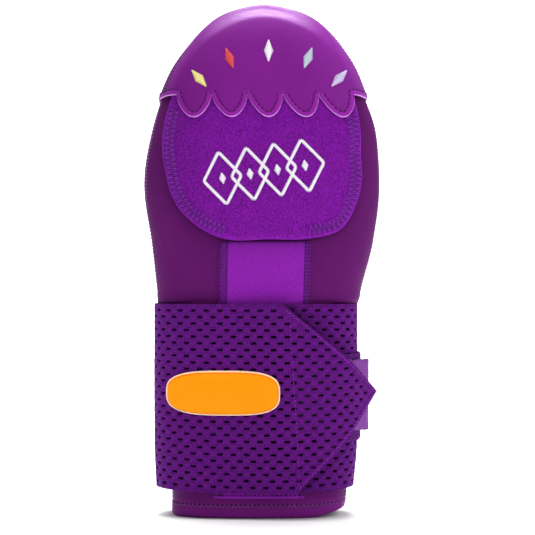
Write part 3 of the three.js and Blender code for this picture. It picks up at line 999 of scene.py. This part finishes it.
def cap_angle(half, share, depth):
    if half == "back":
        share = np.interp(share * CAP_ARC, CAP_ARCS, CAP_SHARES)
    return angle_across(half, share, depth)


def cap_place(half):
    """Points over the leather by arc length across and Z, for threads near its lower edge."""
    def place(arc, z, height):
        depth = depth_at(z)
        angle = cap_angle(half, arc / CAP_ARC, depth)
        return pocket_place(angle, depth, cap_top(angle, depth, half) + height, SIDE[half])
    return place


def cap_edge_line(half, samples):
    """The cap's lower edge, in arc length and Z."""
    share = np.linspace(0, 1, samples)
    return stacked(share * CAP_ARC, cap_edge(half, share))


def cap_edge_path(half, inset):
    """A line inside the cap's lower edge, without the loops where it turns too sharply."""
    path = cap_edge_line(half, 1400)
    moved = path + left_of(unit(np.gradient(path, axis=0))) * inset
    gaps = np.sqrt(((moved[:, None] - path[None, ::4]) ** 2).sum(-1)).min(1)
    return moved[gaps > inset * 0.93]


def far_from_edge(half, share, z):
    """Distance from the cap's lower edge, for the rows near it. The others are just far."""
    spot = stacked(share * CAP_ARC, z)
    far = np.full(spot.shape[:2], 99.0)
    rows = z.min(axis=1) < CAP_SEAM_Z + CAP_EDGE_REACH
    near = spot[rows][:, :, None]
    pieces = np.split(cap_edge_line(half, CAP_EDGE_SAMPLES), CAP_EDGE_PIECES)
    far[rows] = np.sqrt(np.min([((near - piece) ** 2).sum(-1).min(-1) for piece in pieces], axis=0))
    return far


def cap_lip(half, angle, depth):
    """The rolled lip along the top, where the turned seam stiffens the leather."""
    if half == "palm":
        return 0
    here, below = pocket_section(depth), pocket_section(depth + 0.002)
    fall = height_at(depth) - height_at(depth + 0.002)
    slope = (below["half_width"] - here["half_width"]) / fall
    across = np.abs(pocket_base(angle, depth)[..., 0] - here["x"])
    inside_outline = (here["half_width"] - across) / np.hypot(1, slope)
    rise = smooth(inside_outline, 0.2, LIP_INSET + 0.6)
    fade = bump(np.clip(inside_outline, LIP_INSET, None), LIP_INSET, LIP_FADE)
    return LIP_HEIGHT * rise * fade * smooth(height_at(depth), 246, 264)


def cap_half(half):
    down = np.concatenate([np.linspace(0, CAP_EDGE_START, CAP_ROWS)[:-1],
                           np.linspace(CAP_EDGE_START, 1, CAP_EDGE_ROWS)])[:, None]
    share = np.linspace(0, 1, CAP_COLUMNS[half])[None, :]
    mean = depth_at(CAP_SEAM_Z - CAP_LOBE_DEPTH / 2)
    depth = mean * down + (depth_at(cap_edge(half, share)) - mean) * down ** 4
    angle = cap_angle(half, share, depth)
    far = far_from_edge(half, share, height_at(depth))
    half_depth, from_seam, from_left = seam_distances(share, depth)
    swell = 0.18 * bump(far, 1.2, 0.8)
    groove = 0.2 * bump(far, 2.7, 0.55)
    rolled = 0.55 * np.clip(1 - far / 0.8, 0, 1) ** 2
    pinch = 0.35 * bump(from_seam, 0, 1.1) * smooth(half_depth, 3, 10)
    relief = swell + cap_lip(half, angle, depth) - groove - rolled - pinch
    top = cap_top(angle, depth, half)
    outer = pocket_place(angle, depth, top + relief, SIDE[half])
    inner = pocket_place(angle, depth, top - CAP_THICKNESS, SIDE[half])
    tone = 1 - 0.3 * bump(from_seam, 0, 1.0)
    if half == "back":
        tone = tone + 0.4 * smooth(far, 2.6, 1.9)
        # Painted shade: the cap is darker towards its left side, as if lit from the right.
        tone = tone - 0.25 * bump(from_left, 0, 16) * smooth(half_depth, 8, 15)
    obj = slab(CAP[half] + "_leather", outer, inner, LEATHER, "leather", tone=tone, edge=LEATHER_EDGE,
               pole=True)
    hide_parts(CAP[half])


for half in SIDE:
    cap_half(half)
    threads = running_stitch(cap_edge_path(half, 2.7), 2.5, 1.1)
    stitches(f"cap_edge_stitches_{half}", cap_place(half), threads, DARK_THREAD, 0.72, sink=0.4)

for which, across, sink in (("left", 8.0, 0.15), ("right", 2.2, 0.45)):
    threads = bar_stitch(seam_path(which, 229.5, 262, across), 2.1, 4.6, lean=0.4)
    stitches(f"cap_seam_stitches_{which}", seam_place(which, cap_top), threads, DARK_THREAD,
             0.75, sink=sink, arch=0.3)


# The foam knuckle pad

PAD_SEWN = {"left": (166, 249), "right": (-66, 12)}
PAD_SEAM_INSET = 4.8


def sewn_share(turn):
    """1 where the wide stitching runs inside the pad's outline, fading at its ends."""
    degrees = np.degrees(turn) % 360
    total = 0
    for first, last in PAD_SEWN.values():
        middle, reach = (first + last) / 2, (last - first) / 2
        away = np.abs((degrees - middle + 180) % 360 - 180)
        total = total + smooth(away, reach + 2.5, reach - 1)
    return total


def pad_height(share, turn):
    """Height of the pile over the pad's underside."""
    inside = (1 - share) * PAD_RADIUS(turn)
    crown = PAD_TOP * (1 - np.exp(-(np.clip(inside, 0, None) + 0.12) / 0.7)) ** 0.8
    return crown - 0.7 * bump(inside, PAD_SEAM_INSET, 2.6) * sewn_share(turn)


def pad_place(x, z, height):
    turn, distance = pad_polar(x, z)
    return front_place(x, z, PAD_GAP + pad_height(distance / PAD_RADIUS(turn), turn) + height)


def knuckle_pad():
    share, turn = disc_grid(191)
    x, z = pad_point(turn, PAD_RADIUS(turn) * share)
    pile = grain(11, 0.05, share.shape) * smooth(share, 1, 0.97)
    swell = soft_dents(stacked(x, z * 0, z), 26, 0.16, 8) * smooth(share, 1, 0.9)
    outer = front_place(x, z, PAD_GAP + pad_height(share, turn) + pile + swell)
    inner = front_place(x, z, PAD_GAP)
    inside = (1 - share) * PAD_RADIUS(turn)
    seam = 0.3 * bump(inside, PAD_SEAM_INSET, 2.8) * sewn_share(turn)
    # Darker along the stitched channel. The + 0.15 term is a painted highlight along the pad's rolled edge,
    # and the last factor is painted shade, darker towards the pad's left side.
    tone = (1 - seam + 0.15 * bump(inside, 1.2, 1.2)) * (1 - 0.18 * smooth(-x, 20, 48))
    obj = slab("knuckle_pad_plush", outer, inner, PLUSH, "plush", stacked(x, z, 0), tone)
    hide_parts("knuckle_pad")


def pad_stitching():
    for side, ends in PAD_SEWN.items():
        turn = np.radians(np.linspace(*ends, 160))
        line = stacked(*pad_point(turn, PAD_RADIUS(turn) - PAD_SEAM_INSET + 0.2))
        for row, path, thread in (("light", line, PAD_THREAD), ("dark", line[3:], DEEP_THREAD)):
            stitches(f"pad_stitches_{side}_{row}", pad_place, zigzag_stitch(path, 1.3, 5.6), thread,
                     0.5, sink=0.15, arch=0.5)


knuckle_pad()
pad_stitching()


# The loop tape down the middle

STRIP_ENDS = (STRIP_LOW + 1, STRIP_HIGH - 1)


def strip_centre(z):
    return STRIP_LOW_X + (STRIP_HIGH_X - STRIP_LOW_X) * (z - STRIP_LOW) / (STRIP_HIGH - STRIP_LOW)


def strip_place(x, z, height):
    return front_place(strip_centre(z) + x, z, GAP + STRIP_THICKNESS + height)


def centre_strip():
    z = np.linspace(STRIP_HIGH, STRIP_LOW, 120)[:, None]
    across = np.linspace(-0.5, 0.5, 121)[None, :] * STRIP_WIDTH
    edge = STRIP_WIDTH / 2 - np.abs(across)
    width = np.where(across < 0, *STRIP_SELVEDGES)
    flat = 1 - smooth(edge, width - 0.5, width + 0.3)
    selvedge = 0.32 * flat + 0.5 * np.clip(1 - edge / 0.6, 0, 1) ** 2
    brushed = grain(3, 0.02, (z.shape[0], across.shape[1]))
    outer = strip_place(across, z, brushed - selvedge)
    inner = strip_place(across, z, -STRIP_THICKNESS)
    tone = 1 - 0.14 * flat + 0.15 * np.clip(1 - (z - STRIP_LOW) / 0.9, 0, 1)
    # Painted shadow: the tape is darker at its top, under the knuckle pad's overhanging edge.
    tone = tone * (1 - 0.35 * bump(z, STRIP_HIGH, 2.0) - 0.12 * bump(z, STRIP_HIGH, 7))
    obj = slab("centre_strip_tape", outer, inner, TAPE, "loop_tape", stacked(across, z, 0), tone)
    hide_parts("centre_strip")


def strip_stitching():
    def column(sign, inset):
        return [(sign * (STRIP_WIDTH / 2 - inset), end) for end in STRIP_ENDS]

    for side, sign, width in zip(("left", "right"), (-1, 1), STRIP_SELVEDGES):
        stitches(f"strip_stitches_{side}", strip_place,
                 zigzag_stitch(column(sign, width / 2), 0.95, width - 1.5),
                 DEEP_THREAD, 0.5, sink=0.7, arch=0.5)
        needles = [running_stitch(column(sign, inset), 1.9, 1.1) for inset in (0.55, width - 0.45)]
        stitches(f"strip_needle_marks_{side}", strip_place, joined(needles), DARK_THREAD,
                 0.75, sink=0.4, arch=0.4)
    end = [(sign * (STRIP_WIDTH / 2 - 1.5), STRIP_LOW + 1.5) for sign in (-1, 1)]
    stitches("strip_end_stitches", strip_place, running_stitch(end, 2.4, 1.5), DARK_THREAD,
             0.75, sink=0.3)


centre_strip()
strip_stitching()


# The wrist wrap

HOLE_ROW, HOLE_HALF_LENGTH, HOLE_HALF_HEIGHT = 3.42, 1.2, 0.6
HOLE_BULGE, HOLE_CORNER = 0.26, -0.18
HOLE_PERIOD, HOLE_STAGGER = 6, 3
HOLE_ROOM, TIP_ROOM = 2.2, 9
WRAP_COLUMNS = int(WRAP_LENGTH / HOLE_HALF_LENGTH)
WRAP_STEP = WRAP_LENGTH / WRAP_COLUMNS
WRAP_HEIGHT = WRAP_HIGH - WRAP_LOW
HOLE_ROWS = int((WRAP_HEIGHT - 2.4) / HOLE_ROW)
FIRST_ROW_Z = (WRAP_LOW + WRAP_HIGH) / 2 - (HOLE_ROWS - 1) * HOLE_ROW / 2

TIP = np.array([WRAP_LENGTH, WRAP_TIP_Z])
SLANTS = (
    (np.array([run_at_front_x(WRAP_TOP_SLANT_X), WRAP_HIGH]), 1),
    (np.array([run_at_front_x(WRAP_BOTTOM_SLANT_X), WRAP_LOW]), -1),
)
SLANT_AWAYS = [unit(left_of(TIP - corner)) * sign for corner, sign in SLANTS]


def whole_slot(run, z):
    """True where a slot has room: inside the slanting edges and back from the tip."""
    room = min(np.dot(TIP - (run, z), away) for away in SLANT_AWAYS)
    return room > HOLE_ROOM and run < WRAP_LENGTH - TIP_ROOM


def wrap_sheet():
    """The band as a flat sheet with its rows of slots, in length and Z."""
    levels = [WRAP_LOW]
    for row in range(HOLE_ROWS):
        centre = FIRST_ROW_Z + row * HOLE_ROW
        levels += [centre - HOLE_HALF_HEIGHT, centre, centre + HOLE_HALF_HEIGHT, centre + HOLE_ROW / 2]
    levels[-1] = WRAP_HIGH
    u, v = np.meshgrid(np.linspace(0, WRAP_LENGTH, WRAP_COLUMNS + 1), levels)
    row, part = np.divmod(np.arange(len(levels))[:, None] - 1, 4)
    phase = (np.arange(WRAP_COLUMNS + 1) + HOLE_STAGGER * (row % 2)) % HOLE_PERIOD
    pull = np.where(part == 1, -HOLE_BULGE, HOLE_CORNER) * ((row >= 0) & (part != 3))
    u = u + pull * (phase == 1) - pull * (phase == 3)
    faces = []
    for i in range(len(levels) - 1):
        row, part = divmod(i - 1, 4)
        for j in range(WRAP_COLUMNS):
            phase = (j + HOLE_STAGGER * (row % 2)) % HOLE_PERIOD
            in_slot = part in (0, 1) and phase in (1, 2)
            if in_slot and whole_slot((j + 2 - phase) * WRAP_STEP, levels[4 * row + 2]):
                continue
            a = i * (WRAP_COLUMNS + 1) + j
            faces.append((a, a + 1, a + WRAP_COLUMNS + 2, a + WRAP_COLUMNS + 1))
    return stacked(u.ravel(), v.ravel()), faces


def trim(points, faces, spot, aways):
    """Cuts a flat sheet along lines through one spot, each with the direction to cut away."""
    work = bmesh.new()
    verts = [work.verts.new((*p, 0)) for p in points]
    for face in faces:
        work.faces.new([verts[k] for k in face])
    for away in aways:
        geometry = work.verts[:] + work.edges[:] + work.faces[:]
        bmesh.ops.bisect_plane(work, geom=geometry, dist=0.02, plane_co=(*spot, 0),
                               plane_no=(*away, 0), clear_outer=True)
    loose = [v for v in work.verts if not v.link_faces]
    bmesh.ops.delete(work, geom=loose, context="VERTS")
    work.verts.index_update()
    flat = np.array([v.co[:2] for v in work.verts])
    kept = [[v.index for v in f.verts] for f in work.faces]
    work.free()
    return flat, kept


def thicken(flat, faces, place, top):
    """A closed solid from a flat sheet with holes: place(a, b, height) gives its points."""
    edges = {}
    for face in faces:
        for a, b in zip(face, face[1:] + face[:1]):
            key = (min(a, b), max(a, b))
            edges[key] = None if key in edges else (a, b)
    count = len(flat)
    rim = np.array([e for e in edges.values() if e])
    walls = stacked(rim[:, 1], rim[:, 0], rim[:, 0] + count, rim[:, 1] + count)
    vertices = np.concatenate([place(*flat.T, top), place(*flat.T, 0)])
    closed = faces + [[k + count for k in f[::-1]] for f in faces] + walls.tolist()
    if signed_volume(vertices, closed) < 0:
        closed = [f[::-1] for f in closed]
    return vertices, closed


def painted_flap_shadow(flat):
    """Painted shadow: darker cloth on the under layer, close outside the closed end's slanting edges, where
    the closed end would shade it.
    """
    def seen(run, z):
        return wrap_place(run, z, WRAP_THICKNESS)[..., [0, 2]]

    spot, tip = seen(*flat.T), seen(*TIP)
    starts = [(seen(*corner), sign) for corner, sign in SLANTS]
    away = [(spot - start) @ left_of(unit(tip - start)) * sign for start, sign in starts]
    gap = np.clip(np.maximum(*away), 0, None)
    angle = np.interp(flat[:, 0], WRAP_RUN, WRAP_ANGLES)
    under = (angle > 270) & (angle < 365)
    return np.where(under, 1 - 0.45 * bump(gap, 0, 2.2) - 0.16 * bump(gap, 0, 8), 1)


def wrist_wrap():
    flat, faces = wrap_sheet()
    flat, faces = trim(flat, faces, TIP, SLANT_AWAYS)
    turn_along = (flat[:, 0] / WRAP_STEP - 2) / 3 * math.pi
    turn_up = (flat[:, 1] - FIRST_ROW_Z) / HOLE_ROW * math.pi
    at_holes = np.cos(turn_along) * np.cos(turn_up)
    fuzz = grain(21, 0.03, len(flat))
    top = WRAP_THICKNESS - 0.1 - 0.1 * at_holes + fuzz
    # The second factor is painted shadow from the closed end.
    tone = (1 - 0.24 * at_holes) * painted_flap_shadow(flat)
    vertices, closed = thicken(flat, faces, wrap_place, top)
    flow = np.tile(stacked(*flat.T, 0), (2, 1))
    obj = make_object("wrist_wrap_elastic", vertices, closed, [ELASTIC], flow=flow,
                      tone=np.tile(tone, 2))
    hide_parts("wrist_wrap")


def wrap_top(run, z, height):
    return wrap_place(run, z, WRAP_THICKNESS + height)


def slant_path(corner, sign, inset):
    """A line inside one slanting edge of the closed end."""
    along = unit(TIP - corner)
    shares = np.linspace(3.0, np.linalg.norm(TIP - corner) - inset * 1.3, 60)[:, None]
    return corner + along * shares - left_of(along) * sign * inset


def wrap_stitching():
    edges = [zigzag_stitch(slant_path(corner, sign, 1.4), 1.1, 0.9) for corner, sign in SLANTS]
    stitches("flap_edge_stitches", wrap_top, joined(edges), MID_THREAD, 0.4)
    line = [(run_at_front_x(14.5), 112), (run_at_front_x(20.5), 20)]
    stitches("flap_tack_stitches", wrap_top, running_stitch(line, 2.3, 1.3), MID_THREAD, 0.42,
             sink=0.4)


wrist_wrap()
wrap_stitching()


# The patches under the wrap's closed end

def patch_slab(name, patch, runs, rows, relief, shade, slot, seed, tone=None):
    z = np.linspace(patch["high"], patch["low"], rows)[:, None]
    span = runs[None, :]
    from_edge = np.minimum(np.minimum(z - patch["low"], patch["high"] - z),
                           np.minimum(span - runs[0], runs[-1] - span))
    frayed = 0.4 * (1 - smooth(from_edge, 0, 1.2))
    loose = 1 - smooth(from_edge, 0, 0.9)
    rng = np.random.default_rng(seed)
    z_wild = z + rng.normal(0, 0.28, loose.shape) * loose
    span_wild = span + rng.normal(0, 0.22, loose.shape) * loose
    top = patch["thickness"] - frayed + relief(span, z)
    outer = wrap_place(span_wild, z_wild, top, lift=patch["lift"])
    inner = wrap_place(span_wild, z_wild, 0, lift=patch["lift"])
    obj = slab(name, outer, inner, shade, slot, stacked(span, z, 0), tone and tone(span, z))
    return obj


def loop_patch():
    """The patch lies on the band's first turn, so its angles are counted a turn earlier."""
    first, last = run_at_angle(PATCH_START - 360), run_at_angle(LOOP["end"] - 360)

    def pile(run, z):
        return grain(4, 0.07, np.broadcast(run, z).shape)

    obj = patch_slab("loop_patch_pile", LOOP, np.linspace(first, last, 110), 76, pile, LOOP_PILE, "loop", 5)
    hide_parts("loop_patch")


def hook_patch():
    runs = np.linspace(run_at_angle(PATCH_START), WRAP_RUN[-1] + HOOK["tail"], 220)

    def ribs(run, z):
        return 0.14 * np.cos(run / HOOK_RIB * 2 * math.pi) + 0 * z

    def tone(run, z):
        """Painted shade: dark where the closed end covers the hook tape, so that its slots read as shadowed
        holes.
        """
        room = [(TIP[0] - run) * away[0] + (TIP[1] - z) * away[1] for away in SLANT_AWAYS]
        return 1 - 0.8 * smooth(np.minimum(*room), 0.5, 2)

    obj = patch_slab("hook_patch_ribbed", HOOK, runs, 48, ribs, HOOK_TAPE, "hook", 6, tone)
    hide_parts("hook_patch")


loop_patch()
hook_patch()


# The rubber badge

def badge_edge(turn):
    """The outline by turn, with the unit direction inwards."""
    n = BADGE["squareness"]
    reach = (BADGE["half_width"], BADGE["half_height"])
    ray = stacked(np.cos(turn), np.sin(turn))
    spot = ray * (np.abs(ray / reach) ** n).sum(-1, keepdims=True) ** (-1 / n)
    return spot, unit(-np.sign(spot) * np.abs(spot) ** (n - 1) / np.power(reach, n))


def badge_place(x, z, height):
    section = wrap_section(z)
    angle = 360 + front_angle(section, x)
    on_x, on_y = wrap_xy(angle, z, wrap_lift(angle) + WRAP_THICKNESS + GAP + height)
    return stacked(on_x, on_y + BALANCE_Y, z)


def rubber_badge():
    """An oblong badge with a raised rim round a low cushion."""
    share, turn = disc_grid(111)
    spot, inward = badge_edge(turn)
    inset = BADGE["band"] * np.clip((1 - share) / (1 - BADGE["band_share"]), 0, 1)
    inner_share = np.clip(share / BADGE["band_share"], 0, 1)
    across = (spot + inward * inset[..., None]) * inner_share[..., None]
    x, z = BADGE["x"] + across[..., 0], BADGE["z"] + across[..., 1]
    rim = 1.5 * smooth(inset, -0.1, 0.35) - 0.6 * smooth(inset, BADGE["rim"] - 0.1, BADGE["rim"] + 0.1)
    cushion = 0.9 * smooth(inset, BADGE["rim"], 2.4) + 0.45 * smooth(1 - inner_share, 0, 0.9)
    vertices, faces, _, used = slab_mesh(badge_place(x, z, rim + cushion), badge_place(x, z, 0))
    cell_inset = (inset[:-1, :-1] + inset[1:, 1:]).ravel() / 2
    indices = np.ones(len(faces), int)
    indices[:len(cell_inset)] = cell_inset < BADGE["rim"]
    tone = 0.93 + 0.09 * smooth(inset, BADGE["rim"], 2.6)
    obj = make_object("badge_moulded", vertices, faces, [BADGE_ORANGE, BADGE_RIM],
                      indices, tone=np.tile(tone.ravel(), 2)[used])
    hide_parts("badge")


rubber_badge()


# Embroidery

SATIN_PITCH, SATIN_THREAD = 0.36, 0.42
CHAIN = {"links": 4, "spacing": 14.6, "half_width": 9.9, "half_height": 14.0, "line": 1.7}
CHAIN_CENTRE, CHAIN_LEAN = (1.0, 186.0), 9.0
CHAIN_FILL = (6.0, 3.6)
LOZENGE_LENGTH, LOZENGE_WIDTH = 11.5, 4.6
LOZENGE_ARC = {"x": 3.5, "z": 217.0, "radius_x": 43.0, "radius_z": 33.0, "step_deg": 28.0, "lean": 0.7}
LOZENGE_COLOURS = {
    "yellow": (240, 228, 150),
    "coral": (226, 84, 84),
    "white": (244, 242, 246),
    "grey_blue": (196, 212, 222),
    "lavender": (214, 204, 236),
}


def turned(points, degrees, centre):
    c, s = math.cos(math.radians(degrees)), math.sin(math.radians(degrees))
    x, z = points[..., 0], points[..., 1]
    return stacked(centre[0] + c * x - s * z, centre[1] + s * x + c * z)


def diamond_path(half_width, half_height, corner=0.07, samples=14):
    """A closed diamond with its corners rounded a little."""
    corners = np.array([(half_width, 0), (0, half_height), (-half_width, 0), (0, -half_height)])
    t = np.linspace(0, 1, samples)[:, None]
    path = []
    for tip, before, after in zip(corners, np.roll(corners, 1, axis=0), np.roll(corners, -1, axis=0)):
        start, end = tip + (before - tip) * corner, tip + (after - tip) * corner
        path.append(start * (1 - t) ** 2 + tip * 2 * t * (1 - t) + end * t * t)
    return np.concatenate([*path, path[0][:1]])


def lozenge_threads(length, width):
    """Threads across a lozenge that stands upright at the origin."""
    along = np.arange(-length / 2 + 0.25, length / 2 - 0.2, SATIN_PITCH)
    half = width / 2 * (1 - np.abs(2 * along / length)) + 0.15
    return [stacked(side, along) for side in (-half, half)]


def chain_motif():
    """Linked diamonds in satin stitch, with a small filled diamond in each."""
    rows = []
    for i in range(CHAIN["links"]):
        offset = ((i - (CHAIN["links"] - 1) / 2) * CHAIN["spacing"], 0)
        outline = diamond_path(CHAIN["half_width"], CHAIN["half_height"]) + offset
        outline = turned(outline, CHAIN_LEAN, CHAIN_CENTRE)
        rows.append(bar_stitch(outline, SATIN_PITCH, CHAIN["line"], lean=0.3))
        filling = lozenge_threads(*CHAIN_FILL)
        rows.append([turned(side + offset, CHAIN_LEAN, CHAIN_CENTRE) for side in filling])
    stitches("chain_embroidery", pad_place, joined(rows), LIGHT_THREAD, SATIN_THREAD,
             sink=0.1, arch=1.5)


def cap_lozenges():
    place = functools.partial(front_place, lift=cap_top)
    for i, (name, colour) in enumerate(LOZENGE_COLOURS.items()):
        turn = (2 - i) * LOZENGE_ARC["step_deg"]
        centre = (LOZENGE_ARC["x"] - LOZENGE_ARC["radius_x"] * math.sin(math.radians(turn)),
                  LOZENGE_ARC["z"] + LOZENGE_ARC["radius_z"] * math.cos(math.radians(turn)))
        threads = lozenge_threads(LOZENGE_LENGTH, LOZENGE_WIDTH)
        threads = [turned(side, turn * LOZENGE_ARC["lean"], centre) for side in threads]
        shade = thread_shade(name, *colour, roughness=0.4)
        stitches(f"lozenge_{name}", place, threads, shade, SATIN_THREAD, sink=0.1, arch=1.2)


chain_motif()
cap_lozenges()


# Floor, camera and lights

PIXEL, FRAME_PIXELS = 0.55, 535
CAMERA_DISTANCE, CAMERA_X, CAMERA_Z = 950.0, 3.0, 135.0
SENSOR = 36.0
WIDE, NEAR, FAR, HIGH = 4.0, -3.0, 1.6, 4.0


def plane(name, corners, shade):
    mesh = bpy.data.meshes.new(name)
    mesh.from_pydata(corners, [], [(0, 1, 2, 3)])
    mesh.materials.append(shade.material)
    made = placed(name, mesh)
    return made


def floor_and_backdrop():
    """White paper under the mitt, and a lit white wall behind it."""
    paper = Shade("floor_paper", (0.97, 0.97, 0.97, 1), 0.9)
    plane("floor", [(-WIDE, NEAR, 0), (WIDE, NEAR, 0), (WIDE, FAR, 0), (-WIDE, FAR, 0)], paper)
    wall = Shade("backdrop_wall", (0.9, 0.9, 0.9, 1), 0.9, Emission_Color=(1, 1, 1, 1), Emission_Strength=1)
    made = plane("backdrop", [(-WIDE, FAR, 0), (WIDE, FAR, 0), (WIDE, FAR, HIGH), (-WIDE, FAR, HIGH)], wall)
    made.visible_glossy = False


def camera():
    data = bpy.data.cameras.new("camera")
    data.sensor_width = SENSOR
    data.lens = SENSOR * CAMERA_DISTANCE / (PIXEL * FRAME_PIXELS)
    data.clip_start, data.clip_end = 0.05, 20
    made = placed("camera", data)
    made.location = (CAMERA_X * MM, (BALANCE_Y - CAMERA_DISTANCE) * MM, CAMERA_Z * MM)
    made.rotation_euler = (math.pi / 2, 0, 0)
    bpy.context.scene.camera = made


def area_light(name, place, aim, size, power):
    data = bpy.data.lights.new(name, "AREA")
    data.size = size
    data.energy = power
    made = placed(name, data)
    made.location = place
    made.rotation_euler = (Vector(aim) - Vector(place)).to_track_quat("-Z", "Y").to_euler()


def lights():
    world = bpy.data.worlds.new("studio")
    world.use_nodes = True
    world.node_tree.nodes["Background"].inputs["Color"].default_value = (1, 1, 1, 1)
    world.node_tree.nodes["Background"].inputs["Strength"].default_value = 0.28
    bpy.context.scene.world = world
    middle = (0, 0, 0.16)
    area_light("overhead", (-0.12, 0.0, 1.2), (0, 0, 0), 0.9, 15)
    area_light("crown", (0.02, 0.25, 0.9), (0, 0, 0.25), 0.4, 8)
    area_light("key", (1.2, -0.8, 0.9), middle, 1.2, 10.0)
    area_light("fill", (-0.8, -1.2, 0.3), middle, 0.8, 0.3)


floor_and_backdrop()
camera()
lights()
bpy.context.scene.view_settings.view_transform = "Standard"
